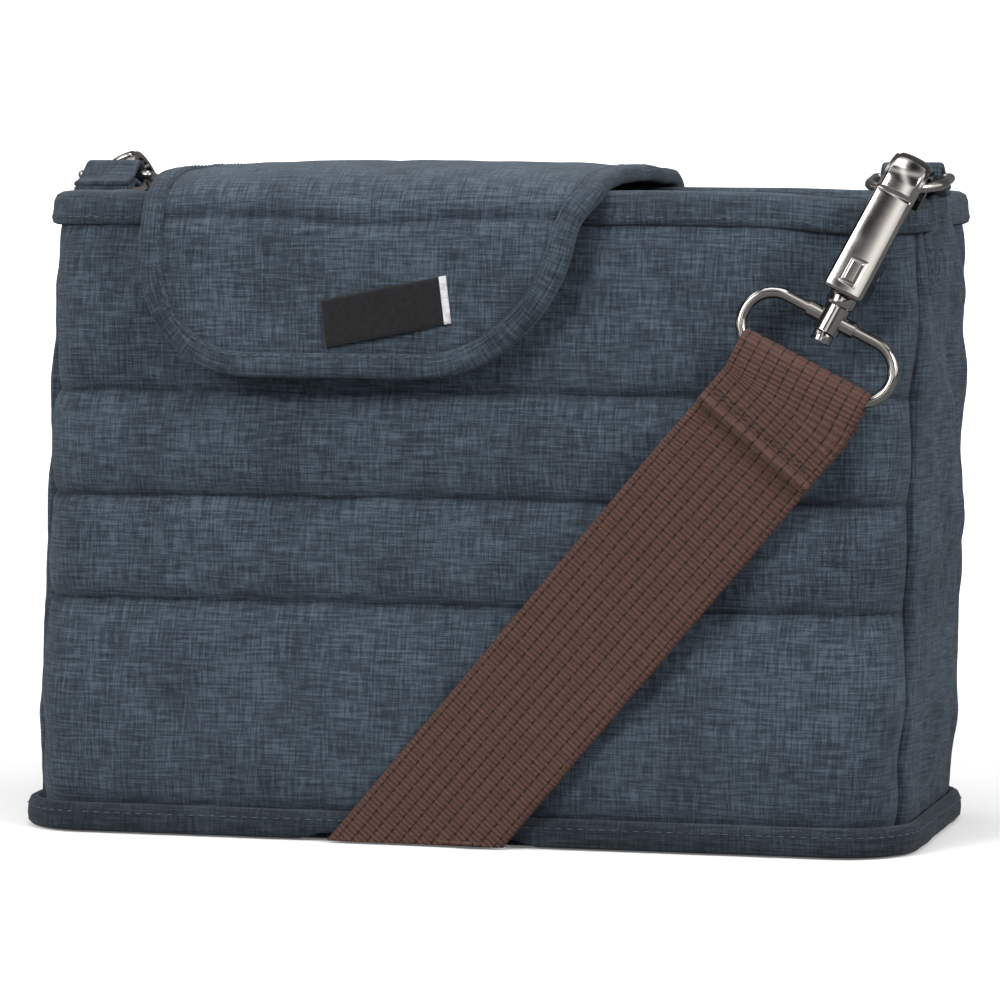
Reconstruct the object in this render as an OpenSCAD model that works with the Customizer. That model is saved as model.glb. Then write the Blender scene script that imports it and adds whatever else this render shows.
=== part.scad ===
// Quilted diaper bag: a soft box with a flat base, a magnetic top flap and a
// webbing shoulder strap clipped to a ring at each end.
// Millimetres. X is the width, -Y is the front, +Z is up.
// Origin: middle of the base, on the ground plane.
// The right ring and hook sit at the front corner, the left ones at the back corner.

/* [Bag] */
// Overall width at the base flange
bag_w = 330; // [300:5:360]
// Overall depth at the base flange
bag_d = 140; // [130:2:160]
// Height to the top of the rim
bag_h = 230; // [220:2:250]
// How far each side leans in from base to rim
lean_x = 5; // [3:1:8]
// How far the front and the back lean in from base to rim
lean_y = 6; // [4:1:8]
// Corner radius of the body
corner_r = 24; // [20:1:28]
// Outer fabric thickness
skin_t = 2.6; // [2:0.2:3]
// Height of the folded binding along the rim
rim_h = 11; // [8:1:14]
// Height of the base flange
flange_h = 10; // [8:1:12]

/* [Flap] */
// Width of the flap
flap_w = 168; // [150:2:180]
// Sideways offset of the flap from the middle
flap_x = -28; // [-45:1:0]
// How far the tongue hangs below the rim
tongue_h = 65; // [60:1:75]
// Flap thickness
flap_t = 5; // [4:0.5:6]
// Width of the binding around the flap
bind_w = 9; // [7:1:11]

/* [Strap] */
// Webbing width
web_w = 50; // [46:1:50]
// Webbing thickness
web_t = 2; // [1.6:0.2:2.2]
// Angle of the hook and its loop from upright, seen from the front
hook_tilt = 27; // [24:1:30]
// Backward lean of the hook
hook_lean = 8; // [6:1:10]
// Where the strap crosses the front bottom edge
strap_x = -11; // [-20:1:0]

/* [Hardware] */
// Wire radius of the ring in the fabric tab
ring_wire = 1.8; // [1.5:0.1:2]
// Bend radius of that ring, to the middle of the wire
ring_r = 13; // [12:0.5:14]
// Length of its straight legs
ring_leg = 11; // [9:1:13]
// Wire radius of the strap loop
loop_wire = 2; // [1.8:0.1:2.2]
// Swivel stud radius
stud_r = 2.05; // [1.9:0.05:2.2]
// Width of the snap hook
hook_w = 14; // [13:0.5:15]

/* [Hidden] */
$fn = 48;

navy = [0.25, 0.30, 0.36];
navy_dark = [0.17, 0.20, 0.25];
brown = [0.34, 0.24, 0.22];
nickel = [0.70, 0.69, 0.67];
grey = [0.55, 0.56, 0.58];

// Half sizes of the body, inside the flange
flange_t = 4;
base_half_x = bag_w / 2 - flange_t;
base_half_y = bag_d / 2 - flange_t;
function half_x(z) = base_half_x - lean_x * z / bag_h;
function half_y(z) = base_half_y - lean_y * z / bag_h;
rim_half_x = half_x(bag_h);
rim_half_y = half_y(bag_h);

// Ring: its front tip, where the hook holds it, and the middle of its straight bar
ring_dip = 8;
ring_tip = [rim_half_x, -rim_half_y, bag_h] + [5.3, -6.7, 2.6];
ring_bar = ring_tip + (ring_r + ring_leg) * [0, cos(ring_dip), sin(ring_dip)];

// Hook: its axis runs from the swivel up to the ring
hook_axis = [
    cos(hook_lean) * sin(hook_tilt), sin(hook_lean), cos(hook_lean) * cos(hook_tilt)
];
hook_reach = 51;
hook_set_back = 1.8;
hook_origin = ring_tip - hook_reach * hook_axis + [0, hook_set_back, 0];

// Strap: from its foot at the front bottom edge up to the joint below the hook
joint_z = -34;
strap_gap = 2.6;
strap_joint = hook_origin + joint_z * hook_axis;
strap_foot = [strap_x, -bag_d / 2 - strap_gap, 0];
strap_line = strap_joint - strap_foot;
strap_len = norm(strap_line);
strap_roll = asin(-strap_line.y / strap_len);
strap_tilt = atan2(strap_line.x, strap_line.z);
// Turn of the run that joins the two feet under the base
under_turn = -atan2(strap_x, -bag_d / 2) - 180;

// ---------- helpers ----------

// Outline of the body at height z, depth inside its surface
corner_steps = 8;
function body_ring(z, depth) = [
    for (k = [0 : 3], i = [0 : corner_steps])
        let (
            angle = 90 * k + 90 * i / corner_steps,
            sign_x = (k == 0 || k == 3) ? 1 : -1,
            sign_y = k < 2 ? 1 : -1
        )
        [sign_x * (half_x(z) - corner_r) + (corner_r - depth) * cos(angle),
            sign_y * (half_y(z) - corner_r) + (corner_r - depth) * sin(angle),
            z]
];

// Closed leaning wall from z0 to z1, between two depths inside the surface
module lean_wall(z0, z1, outer, inner) {
    count = 4 * (corner_steps + 1);
    // Faces join four rings: outer bottom, outer top, inner bottom, inner top
    function band(a, b, c, d) = [
        for (i = [0 : count - 1])
            let (next = (i + 1) % count)
            [a * count + i, b * count + (b == a ? next : i),
                c * count + next, d * count + (d == c ? i : next)]
    ];
    polyhedron(
        points = concat(body_ring(z0, outer), body_ring(z1, outer),
            body_ring(z0, inner), body_ring(z1, inner)),
        faces = concat(band(0, 1, 1, 0), band(2, 2, 3, 3), band(0, 0, 2, 2), band(1, 3, 3, 1)));
}

// Body outline at the base, grown or shrunk all round
module base_outline(grow = 0) {
    size_x = base_half_x + grow;
    size_y = base_half_y + grow;
    radius = corner_r + grow;
    square([2 * (size_x - radius), 2 * size_y], center = true);
    square([2 * size_x, 2 * (size_y - radius)], center = true);
    for (sx = [-1, 1], sy = [-1, 1])
        translate([sx * (size_x - radius), sy * (size_y - radius)]) circle(r = radius, $fn = 40);
}

// Cylinder along X, centred
module x_cylinder(h, r) {
    rotate([0, 90, 0]) cylinder(h = h, r = r, center = true);
}

// Profile given as (back, up), drawn across the width
module across(width) {
    rotate([90, 0, 90]) linear_extrude(height = width, center = true) children();
}

module hook_frame() {
    translate(hook_origin) rotate([-hook_lean, hook_tilt, 0]) children();
}

module ring_frame() {
    translate(ring_bar) rotate([ring_dip, 0, 0]) children();
}

module strap_frame() {
    translate(strap_foot) rotate([strap_roll, strap_tilt, 0]) children();
}

// The left end of the strap is the right end turned half a turn about the middle
module left() {
    rotate([0, 0, 180]) children();
}

// ---------- outer walls ----------

wall_z0 = 4.5;
wall_z1 = bag_h - rim_h - 0.5;
seam_y = base_half_y - 16;
seam_gap = 0.3;

// Slice of the outer wall, from y0 towards the back
module wall_slice(y0) {
    intersection() {
        lean_wall(wall_z0, wall_z1, 0, skin_t);
        translate([-bag_w, y0, 0]) cube([2 * bag_w, bag_d - seam_y, bag_h]);
    }
}

module front_panel() {
    color(navy) wall_slice(-bag_d);
}

module back_panel() {
    color(navy) wall_slice(seam_y);
}

module side_panel_right() {
    color(navy) intersection() {
        lean_wall(wall_z0, wall_z1, 0, skin_t);
        translate([0, -seam_y + seam_gap, 0]) cube([bag_w, 2 * seam_y - 2 * seam_gap, bag_h]);
    }
}

module side_panel_left() {
    mirror([1, 0, 0]) side_panel_right();
}

module rim_binding() {
    color(navy_dark) lean_wall(bag_h - rim_h, bag_h, -1.2, 10.6);
}

// ---------- padding and front magnet ----------

padding_z0 = 8;
padding_depth = 8.2;
padding_end = 30; // left clear at each side
magnet_z = bag_h - tongue_h + 22;
magnet_t = 2.5;
front_magnet_r = 9;

// Padding on one half of the body, from y0 towards the back
module padding_half(y0) {
    intersection() {
        lean_wall(padding_z0, wall_z1 - 1, skin_t + 0.4, padding_depth);
        translate([-base_half_x + padding_end, y0, 0])
            cube([2 * base_half_x - 2 * padding_end, bag_d, bag_h]);
    }
}

module front_padding() {
    color("white") difference() {
        padding_half(-bag_d);
        translate([flap_x, -base_half_y, magnet_z]) rotate([90, 0, 0])
            cylinder(h = 40, r = front_magnet_r + 0.5, center = true);
    }
}

module back_padding() {
    color("white") padding_half(0);
}

// Lies flat against the inside of the leaning front panel
module front_magnet() {
    color(nickel) translate([flap_x, -(half_y(magnet_z) - skin_t - 0.9), magnet_z])
        rotate([-90 - atan(lean_y / bag_h), 0, 0]) cylinder(h = magnet_t, r = front_magnet_r);
}

// ---------- base ----------

base_t = 4;
board_z = 4.6;
board_t = 2;
board_inset = 11.5;
channel_h = 4.4; // centred on strap_base_z
strap_base_z = 0.2;

// Channel under the base, where the strap crosses it, wider at both edges
module strap_channel() {
    rotate([0, 0, under_turn])
        translate([0, 0, strap_base_z]) cube([web_w + 2, 2.2 * bag_d, channel_h], center = true);
    for (turn = [0, 180])
        rotate([0, 0, turn]) translate([strap_x, -bag_d / 2, strap_base_z])
            cube([web_w + 22, 14, channel_h], center = true);
}

module base_panel() {
    color(navy) difference() {
        linear_extrude(height = base_t) base_outline();
        strap_channel();
    }
}

module base_board() {
    color(grey) translate([0, 0, board_z])
        linear_extrude(height = board_t) base_outline(-board_inset);
}

module base_binding() {
    color(navy_dark) difference() {
        linear_extrude(height = flange_h) base_outline(flange_t);
        translate([0, 0, -1]) linear_extrude(height = flange_h + 2) base_outline(0.4);
        strap_channel();
    }
}

// ---------- lining and pocket ----------

lining_z = 7;
lining_depth = 8.7;
lining_t = 1.4;
lining_floor_t = 1.5;
lining_inset = 11;
pocket = [210, 2, 116];
pocket_y = 47.6;
pocket_z = 12;
elastic = [pocket.x, 3, 8];

module lining_wall() {
    color(grey) lean_wall(lining_z, wall_z1, lining_depth, lining_depth + lining_t);
}

module lining_floor() {
    color(grey) translate([0, 0, lining_z])
        linear_extrude(height = lining_floor_t) base_outline(-lining_inset);
}

module inner_pocket() {
    color(grey) translate([-pocket.x / 2, pocket_y, pocket_z]) cube(pocket);
}

// Band just above the pocket's top edge
module pocket_elastic() {
    color(navy_dark) translate([-elastic.x / 2, pocket_y - 0.4, pocket_z + pocket.z + 0.3])
        cube(elastic);
}

// ---------- flap ----------

flap_z = bag_h + 1.5;
bind_gap = 0.2;
bind_extra = 0.8; // binding thickness beyond the flap's
tongue_y = -rim_half_y - 11.5;
tongue_left_r = 40;
tongue_right_r = 46;
tongue_slant = 8; // how far the right edge comes in towards the bottom
flap_magnet_r = 8.3;
label = [46, 16];
label_t = 1;
label_turn = 9;

module flap_top_outline(inset) {
    translate([flap_x - flap_w / 2 + inset, -rim_half_y - 5])
        square([flap_w - 2 * inset, 2 * rim_half_y + 3]);
}

module flap_top() {
    color(navy) translate([0, 0, flap_z])
        linear_extrude(height = flap_t) flap_top_outline(bind_w + bind_gap);
}

// A strip along each side, left open at the front and the back
module flap_top_binding() {
    color(navy_dark) translate([0, 0, flap_z]) linear_extrude(height = flap_t + bind_extra)
        difference() {
            flap_top_outline(0);
            for (shift = [-1, 1])
                translate([0, shift]) flap_top_outline(bind_w);
        }
}

// Tongue seen from the front: rounded bottom corners, slanted right edge
module tongue_outline(inset) {
    half_w = flap_w / 2;
    left_x = -half_w + tongue_left_r;
    left_y = -tongue_h + tongue_left_r;
    right_x = half_w - tongue_right_r - tongue_slant;
    right_y = -tongue_h + tongue_right_r;
    intersection() {
        translate([-half_w + inset, -tongue_h + inset]) square([2 * (half_w - inset), tongue_h]);
        union() {
            translate([left_x, left_y]) circle(r = tongue_left_r - inset);
            translate([right_x, right_y]) circle(r = tongue_right_r - inset);
            polygon([
                [left_x, -tongue_h + inset],
                [right_x, -tongue_h + inset],
                [half_w - tongue_slant - inset, right_y],
                [half_w - inset, 0],
                [-half_w + inset, 0],
                [-half_w + inset, left_y]
            ]);
        }
    }
}

// Stands an outline upright at the back of the tongue, extruding to the front
module tongue_place() {
    translate([flap_x, tongue_y, bag_h]) rotate([90, 0, 0]) children();
}

module flap_tongue() {
    color(navy) difference() {
        tongue_place() linear_extrude(height = flap_t) intersection() {
            tongue_outline(bind_w + bind_gap);
            // keeps the part below the rim
            translate([0, -100]) square([400, 200], center = true);
        }
        translate([flap_x, tongue_y, magnet_z]) rotate([90, 0, 0])
            cylinder(h = 6, r = flap_magnet_r + 0.3, center = true);
    }
}

module flap_tongue_binding() {
    color(navy_dark) tongue_place() translate([0, 0, -bind_extra / 2])
        linear_extrude(height = flap_t + bind_extra) difference() {
            tongue_outline(0);
            tongue_outline(bind_w);
            // opens the top edge
            translate([0, 2]) square([flap_w - 2 * bind_w, 2 * bind_w + 6], center = true);
        }
}

module flap_magnet() {
    color(nickel) translate([flap_x, tongue_y - 0.2, magnet_z]) rotate([90, 0, 0])
        cylinder(h = magnet_t, r = flap_magnet_r);
}

module flap_label() {
    color("black") translate([flap_x + 5, tongue_y - flap_t - 0.9, bag_h - tongue_h + 25])
        rotate([90, label_turn, 0]) linear_extrude(height = label_t) square(label, center = true);
}

// ---------- ring and its tab ----------

tab_w = 18;
tab_r = 4.4;

// Fabric rolled round the ring's bar, with a flat tail to the back
module ring_tab_right() {
    color(navy) ring_frame() difference() {
        union() {
            x_cylinder(h = tab_w, r = tab_r);
            translate([-tab_w / 2, 0, -4.2]) cube([tab_w, 19, 6.4]);
        }
        x_cylinder(h = 30, r = ring_wire + 0.35);
        // level cut along the underside
        translate([-20, -10, -14.6]) rotate([-ring_dip, 0, 0])
            translate([0, 0, 5.2]) cube([40, 60, 5]);
    }
}

module ring_tab_left() {
    left() ring_tab_right();
}

module d_ring_right() {
    color(nickel) ring_frame() {
        x_cylinder(h = 2 * ring_r, r = ring_wire);
        for (s = [-1, 1])
            translate([s * ring_r, 0, 0]) {
                sphere(r = ring_wire);
                rotate([90, 0, 0]) cylinder(h = ring_leg, r = ring_wire);
            }
        translate([0, -ring_leg, 0]) rotate([0, 0, 180]) rotate_extrude(angle = 180)
            translate([ring_r, 0]) circle(r = ring_wire);
    }
}

module d_ring_left() {
    left() d_ring_right();
}

// ---------- snap hook ----------

// Places on the hook are (back, up) from the swivel point
eye = [0.5, 52];
eye_r = 6.6;
eye_wall = 2.7;
arm_t = 3.3;
hook_front = eye.x - eye_r - eye_wall;
hook_back = eye.x + eye_r + eye_wall;
throat_front = hook_front + arm_t;
throat_back = hook_back - arm_t;
block_z0 = 10;
block_z1 = 25;
block_back = 8;
nose_z = 46.5;
gate_pivot = [5.2, 20];
gate_t = 5;
pin_r = 1.2;
pin_hole_r = 1.25;
stud_z0 = -8.6;

module hook_profile() {
    difference() {
        union() {
            translate(eye) circle(r = eye_r + eye_wall);
            translate([hook_front, block_z0]) square([arm_t, eye.y - block_z0]);
            translate([throat_back, nose_z]) square([arm_t, eye.y - nose_z]);
            translate([hook_front, block_z0])
                square([block_back - hook_front, block_z1 - block_z0]);
        }
        translate(eye) circle(r = eye_r);
        translate([throat_front, block_z1])
            square([throat_back - throat_front, eye.y - block_z1]);
        // gate opening at the back
        translate([6, block_z1]) square([8, nose_z - block_z1]);
    }
}

module at_gate_pivot(x = 0) {
    translate([x, gate_pivot.x, gate_pivot.y]) children();
}

module hook_body_right() {
    color(nickel) hook_frame() difference() {
        union() {
            across(hook_w) hook_profile();
            // collar, swivel stud and stud head
            translate([0, 0, 5.2]) cylinder(h = 5.5, r = 4.4);
            translate([0, 0, stud_z0]) cylinder(h = 19, r = stud_r);
            translate([0, 0, stud_z0]) cylinder(h = 3.4, r = 3.4);
        }
        // slot and pin hole for the gate
        translate([-3.6, -0.6, 14.5]) cube([7.2, 20, 20]);
        at_gate_pivot() x_cylinder(h = 40, r = pin_hole_r);
        // shallow window low on the front
        translate([-3, hook_front - 1, 13.5]) cube([6, 1.6, 9]);
    }
}

module hook_body_left() {
    left() hook_body_right();
}

module hook_gate_right() {
    color(nickel) hook_frame() difference() {
        union() {
            at_gate_pivot() x_cylinder(h = gate_t, r = 2.7);
            translate([-gate_t / 2, 4.2, gate_pivot.y]) cube([gate_t, 2, 28]);
            // thumb tab
            translate([-gate_t / 2, 6, 30]) cube([gate_t, 4.5, 3]);
        }
        at_gate_pivot() x_cylinder(h = 10, r = pin_hole_r);
    }
}

module hook_gate_left() {
    left() hook_gate_right();
}

module gate_pin_right() {
    color(grey) hook_frame() at_gate_pivot() x_cylinder(h = hook_w - 0.4, r = pin_r);
}

module gate_pin_left() {
    left() gate_pin_right();
}

// Two turns of wire round the pin beside the gate
module gate_spring_right() {
    color(grey) hook_frame() at_gate_pivot(2.85) rotate([0, 90, 0])
        for (i = [0 : 1])
            translate([0, 0, i * 0.3]) rotate_extrude() translate([1.75, 0]) circle(r = 0.25);
}

module gate_spring_left() {
    left() gate_spring_right();
}

// ---------- strap loop ----------

// Distance between the two bars, and half the length of their straight part
loop_reach = 22;
loop_half = (web_w + 3) / 2 + loop_wire - loop_reach / 2;

module strap_loop_right() {
    color(nickel) hook_frame() difference() {
        union() {
            for (z = [0, -loop_reach])
                translate([0, 0, z]) x_cylinder(h = 2 * loop_half, r = loop_wire);
            for (s = [-1, 1])
                translate([s * loop_half, 0, -loop_reach / 2])
                    rotate([90, 0, 0]) rotate([0, 0, -s * 90])
                        rotate_extrude(angle = 180)
                            translate([loop_reach / 2, 0]) circle(r = loop_wire);
            // swivel barrel and the thicker middle of the top bar
            translate([0, 0, -4.8]) cylinder(h = 9.6, r = 4.6);
            x_cylinder(h = 18, r = 2.9);
        }
        translate([0, 0, -10]) cylinder(h = 20, r = stud_r + 0.05);
    }
}

module strap_loop_left() {
    left() strap_loop_right();
}

// ---------- strap ----------

// Fold round the lower bar of the loop, as seen from the side
fold_r = 4.6;
fold_top = 2.4 - loop_reach;
fold_z0 = -27.5;
fold_hole_r = 2.5;
fold_hole_top = 3.6 - loop_reach;
fold_hole_z0 = -24.8;
tail_t = 4.4;

module strap_end_right() {
    color(brown) hook_frame() across(web_w) difference() {
        union() {
            translate([0, fold_top]) circle(r = fold_r);
            translate([-fold_r, fold_z0]) square([2 * fold_r, fold_top - fold_z0]);
            translate([-tail_t / 2, joint_z + 0.2]) square([tail_t, -joint_z - 27.4]);
        }
        translate([0, fold_hole_top]) circle(r = fold_hole_r);
        translate([-fold_hole_r, fold_hole_z0])
            square([2 * fold_hole_r, fold_hole_top - fold_hole_z0]);
    }
}

module strap_end_left() {
    left() strap_end_right();
}

// Front run, made too long and trimmed at the joint and at the ground
module strap_run() {
    intersection() {
        difference() {
            strap_frame() translate([-web_w / 2, -web_t / 2, -90])
                cube([web_w, web_t, strap_len + 150]);
            hook_frame() translate([-90, -60, joint_z]) cube([180, 120, 200]);
        }
        translate([-bag_w, -bag_d * 2, strap_base_z]) cube([2 * bag_w, 2 * bag_d, bag_h]);
    }
}

// Two upright runs and the run under the base
module strap_webbing() {
    color(brown) {
        strap_run();
        left() strap_run();
        intersection() {
            rotate([0, 0, under_turn]) translate([0, 0, strap_base_z + web_t / 2 - 0.1])
                cube([web_w, 2.2 * bag_d, web_t - 0.2], center = true);
            translate([0, 0, 5]) cube([bag_w, bag_d + 6, 20], center = true);
        }
    }
}

slider_at = 95; // distance up the strap
slider_w = web_w + 9;
slider_bar_y = 2.9;
slider_bar_t = 2.2;

// Three-bar slider on the back run of the strap
module strap_slider() {
    color(nickel) left() strap_frame() translate([0, 0, slider_at]) {
        for (s = [-1, 1]) {
            translate([s * (web_w / 2 + 3), 0, 0]) cube([4, 8, 30], center = true);
            translate([0, slider_bar_y, s * 12.5]) cube([slider_w, slider_bar_t, 5], center = true);
        }
        translate([0, -slider_bar_y, 0]) cube([slider_w, slider_bar_t, 6], center = true);
    }
}

front_panel();
back_panel();
side_panel_right();
side_panel_left();
front_padding();
back_padding();
base_panel();
base_board();
base_binding();
rim_binding();
lining_wall();
lining_floor();
inner_pocket();
pocket_elastic();
front_magnet();
flap_top();
flap_top_binding();
flap_tongue();
flap_tongue_binding();
flap_magnet();
flap_label();
ring_tab_right();
ring_tab_left();
d_ring_right();
d_ring_left();
hook_body_right();
hook_body_left();
hook_gate_right();
hook_gate_left();
gate_pin_right();
gate_pin_left();
gate_spring_right();
gate_spring_left();
strap_loop_right();
strap_loop_left();
strap_end_right();
strap_end_left();
strap_webbing();
strap_slider();
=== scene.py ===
# A quilted twill shoulder bag with a front flap and a webbing strap held by two hooks.
# It stands on z = 0, centred on the origin: +X is right, -Y is front, +Z is up.
# The strap hooks on at the front right; the left hook is the same part turned half a turn
# about Z, so it sits at the back left. Shapes are in millimetres unless a comment says
# otherwise, and become metres in mesh_object.
import bmesh
import bpy
import math
import numpy as np
from mathutils import Matrix, Vector, noise


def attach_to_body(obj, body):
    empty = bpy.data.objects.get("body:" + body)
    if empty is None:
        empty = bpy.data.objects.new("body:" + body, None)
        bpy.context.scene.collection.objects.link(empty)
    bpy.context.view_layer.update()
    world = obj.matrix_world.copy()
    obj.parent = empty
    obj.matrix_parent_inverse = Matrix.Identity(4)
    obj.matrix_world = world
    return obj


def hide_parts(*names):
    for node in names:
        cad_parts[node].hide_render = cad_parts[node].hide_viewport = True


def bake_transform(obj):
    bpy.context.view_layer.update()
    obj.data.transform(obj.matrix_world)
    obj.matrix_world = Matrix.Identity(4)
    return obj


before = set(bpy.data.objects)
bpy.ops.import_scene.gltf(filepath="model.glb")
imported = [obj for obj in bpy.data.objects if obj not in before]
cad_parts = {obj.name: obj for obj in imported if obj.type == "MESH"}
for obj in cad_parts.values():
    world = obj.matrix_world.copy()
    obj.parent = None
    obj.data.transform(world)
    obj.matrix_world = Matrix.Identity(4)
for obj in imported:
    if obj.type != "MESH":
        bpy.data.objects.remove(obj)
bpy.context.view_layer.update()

MM = 0.001
TAU = 2 * math.pi
HALF_TURN = Matrix.Rotation(math.pi, 4, "Z")
SIDES = (("right", False), ("left", True))  # name, turned half a turn

# ------------------------------------------------------------------ node trees


class NodeTree:
    """Short calls for adding and linking nodes."""

    def __init__(self, tree):
        self.tree = tree

    def add(self, kind, **settings):
        node = self.tree.nodes.new(kind)
        for name, value in settings.items():
            setattr(node, name, value)
        return node

    def link(self, source, target):
        self.tree.links.new(source, target)

    def math(self, operation, *values):
        node = self.add("ShaderNodeMath", operation=operation)
        for socket, value in zip(node.inputs, values):
            if isinstance(value, bpy.types.NodeSocket):
                self.link(value, socket)
            else:
                socket.default_value = value
        return node.outputs[0]

    def mix_shader(self, factor, first, second):
        node = self.add("ShaderNodeMixShader")
        for source, target in zip((factor, first, second), node.inputs):
            self.link(source, target)
        return node.outputs[0]


class Material(NodeTree):
    """A material with one principled shader."""

    def __init__(self, name):
        self.material = bpy.data.materials.new(name)
        self.material.use_nodes = True
        super().__init__(self.material.node_tree)
        self.tree.nodes.clear()
        output = self.add("ShaderNodeOutputMaterial")
        self.shader = self.add("ShaderNodeBsdfPrincipled")
        self.link(self.shader.outputs[0], output.inputs[0])

    def set(self, **values):
        for name, value in values.items():
            self.shader.inputs[name.replace("_", " ")].default_value = value

    def place(self, cloth):
        """Cloth coordinates from the mesh attribute, or plain object coordinates."""
        if cloth:
            return self.add("ShaderNodeAttribute", attribute_name="cloth").outputs["Vector"]
        return self.add("ShaderNodeTexCoord").outputs["Object"]

    def vector_math(self, operation, vector, constant):
        node = self.add("ShaderNodeVectorMath", operation=operation)
        self.link(vector, node.inputs[0])
        node.inputs[1].default_value = constant
        return node

    def noise(self, vector, scale, detail, roughness=0.6):
        scaled = self.vector_math("MULTIPLY", vector, scale).outputs[0]
        node = self.add("ShaderNodeTexNoise")
        self.link(scaled, node.inputs["Vector"])
        node.inputs["Scale"].default_value = 1.0
        node.inputs["Detail"].default_value = detail
        node.inputs["Roughness"].default_value = roughness
        return node.outputs["Fac"]

    def wave(self, vector, frequency):
        """Sine of the vector's dot product with frequency (radians per metre)."""
        phase = self.vector_math("DOT_PRODUCT", vector, frequency).outputs["Value"]
        return self.math("SINE", phase)

    def weighted_sum(self, *terms):
        total = None
        for socket, weight in terms:
            part = self.math("MULTIPLY", socket, weight)
            total = part if total is None else self.math("ADD", total, part)
        return total

    def ramp(self, factor, stops):
        node = self.add("ShaderNodeValToRGB")
        elements = node.color_ramp.elements
        while len(elements) < len(stops):
            elements.new(0.5)
        for element, (position, color) in zip(elements, stops):
            element.position = position
            element.color = color
        self.link(factor, node.inputs[0])
        return node.outputs[0]

    def bump(self, height, distance, strength):
        node = self.add("ShaderNodeBump")
        node.inputs["Strength"].default_value = strength
        node.inputs["Distance"].default_value = distance
        self.link(height, node.inputs["Height"])
        self.link(node.outputs[0], self.shader.inputs["Normal"])


def srgb(*channels):
    """0-255 display colour to linear RGBA."""
    def linear(value):
        value /= 255
        return value / 12.92 if value <= 0.04045 else ((value + 0.055) / 1.055) ** 2.4
    return (*(linear(value) for value in channels), 1)


# ------------------------------------------------------------------ materials
# Pitches, wavelengths and bump distances in this section are in metres.


def twill(name, dark, mid, light, relief=1.0):
    """Melange twill: slubs along both threads and a fine diagonal rib."""
    mat = Material(name)
    place = mat.place(cloth=True)
    slub_down = mat.noise(place, (75, 1250, 400), 3)
    slub_across = mat.noise(place, (1250, 80, 400), 3)
    fine_down = mat.noise(place, (220, 2900, 900), 2)
    fine_across = mat.noise(place, (2900, 220, 900), 2)
    blotch = mat.noise(place, (34, 26, 30), 3, roughness=0.55)
    tone = mat.weighted_sum((slub_down, 0.36), (slub_across, 0.30),
                            (fine_down, 0.16), (fine_across, 0.18))
    blotch_part = mat.math("MULTIPLY", mat.math("SUBTRACT", blotch, 0.5), 0.13)
    tone = mat.math("ADD", tone, blotch_part)
    diagonal = mat.wave(place, (TAU / 0.00085, TAU / 0.00085, 0))
    warp = mat.wave(place, (TAU / 0.0006, 0, 0))
    weft = mat.wave(place, (0, TAU / 0.0006, 0))
    weave = mat.math("MULTIPLY", warp, weft)
    tone = mat.math("ADD", tone, mat.math("MULTIPLY", diagonal, 0.012))
    # more contrast about the middle tone
    contrast = mat.math("MULTIPLY", mat.math("SUBTRACT", tone, 0.5), 1.5)
    tone = mat.math("ADD", contrast, 0.5)
    color = mat.ramp(tone, [(0.36, dark), (0.49, mid), (0.63, light)])
    # painted shade: darker where the mesh marks a crease, a seam or a bound edge
    crease = mat.add("ShaderNodeAttribute", attribute_name="crease").outputs["Fac"]
    shade = mat.add("ShaderNodeMix", data_type="RGBA", blend_type="MULTIPLY")
    mat.link(crease, shade.inputs[0])
    mat.link(color, shade.inputs[6])
    shade.inputs[7].default_value = (0.34, 0.36, 0.40, 1)
    mat.link(shade.outputs[2], mat.shader.inputs["Base Color"])
    roughness = mat.math("ADD", 0.80, mat.math("MULTIPLY", blotch, 0.16))
    mat.link(roughness, mat.shader.inputs["Roughness"])
    height = mat.weighted_sum((diagonal, 0.5), (weave, 0.35), (tone, 1.6))
    mat.bump(height, distance=0.00022 * relief, strength=0.55)
    mat.set(Sheen_Weight=0.10, Sheen_Roughness=0.5, Specular_IOR_Level=0.18,
            Sheen_Tint=(0.75, 0.85, 0.95, 1))
    return mat.material


def webbing(name, base, dark, light):
    """Ribbed webbing: fine ribs across, stitched grooves along."""
    mat = Material(name)
    place = mat.place(cloth=True)
    along = mat.noise(place, (900, 70, 200), 3)
    across = mat.noise(place, (90, 700, 200), 3)
    grain = mat.noise(place, (2600, 2600, 900), 2)
    tone = mat.weighted_sum((along, 0.20), (across, 0.20), (grain, 0.60))
    rib = mat.wave(place, (0, TAU / 0.0017, 0))
    tone = mat.math("ADD", tone, mat.math("MULTIPLY", rib, 0.040))
    # grooves along the webbing, broken into short stitches
    from_groove = mat.math("ABSOLUTE", mat.wave(place, (math.pi / 0.0045, 0, 0)))
    plateau = mat.math("SMOOTH_MIN", mat.math("MULTIPLY", from_groove, 3.4), 1.0, 0.05)
    groove_line = mat.math("SUBTRACT", 1.0, plateau)
    beat = mat.math("MULTIPLY", mat.wave(place, (900.0, TAU / 0.0034, 0)), 0.38)
    groove = mat.math("MULTIPLY", groove_line, mat.math("ADD", 0.62, beat))
    # painted shade: the tone darkens along the grooves
    tone = mat.math("SUBTRACT", tone, mat.math("MULTIPLY", groove, 0.42))
    color = mat.ramp(tone, [(0.24, dark), (0.47, base), (0.66, light)])
    mat.link(color, mat.shader.inputs["Base Color"])
    cloth_height = mat.math("ADD", mat.math("MULTIPLY", rib, 0.5), grain)
    height = mat.math("SUBTRACT", cloth_height, mat.math("MULTIPLY", groove, 1.6))
    mat.bump(height, distance=0.00030, strength=0.6)
    mat.set(Roughness=0.66, Sheen_Weight=0.03, Specular_IOR_Level=0.22)
    return mat.material


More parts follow.
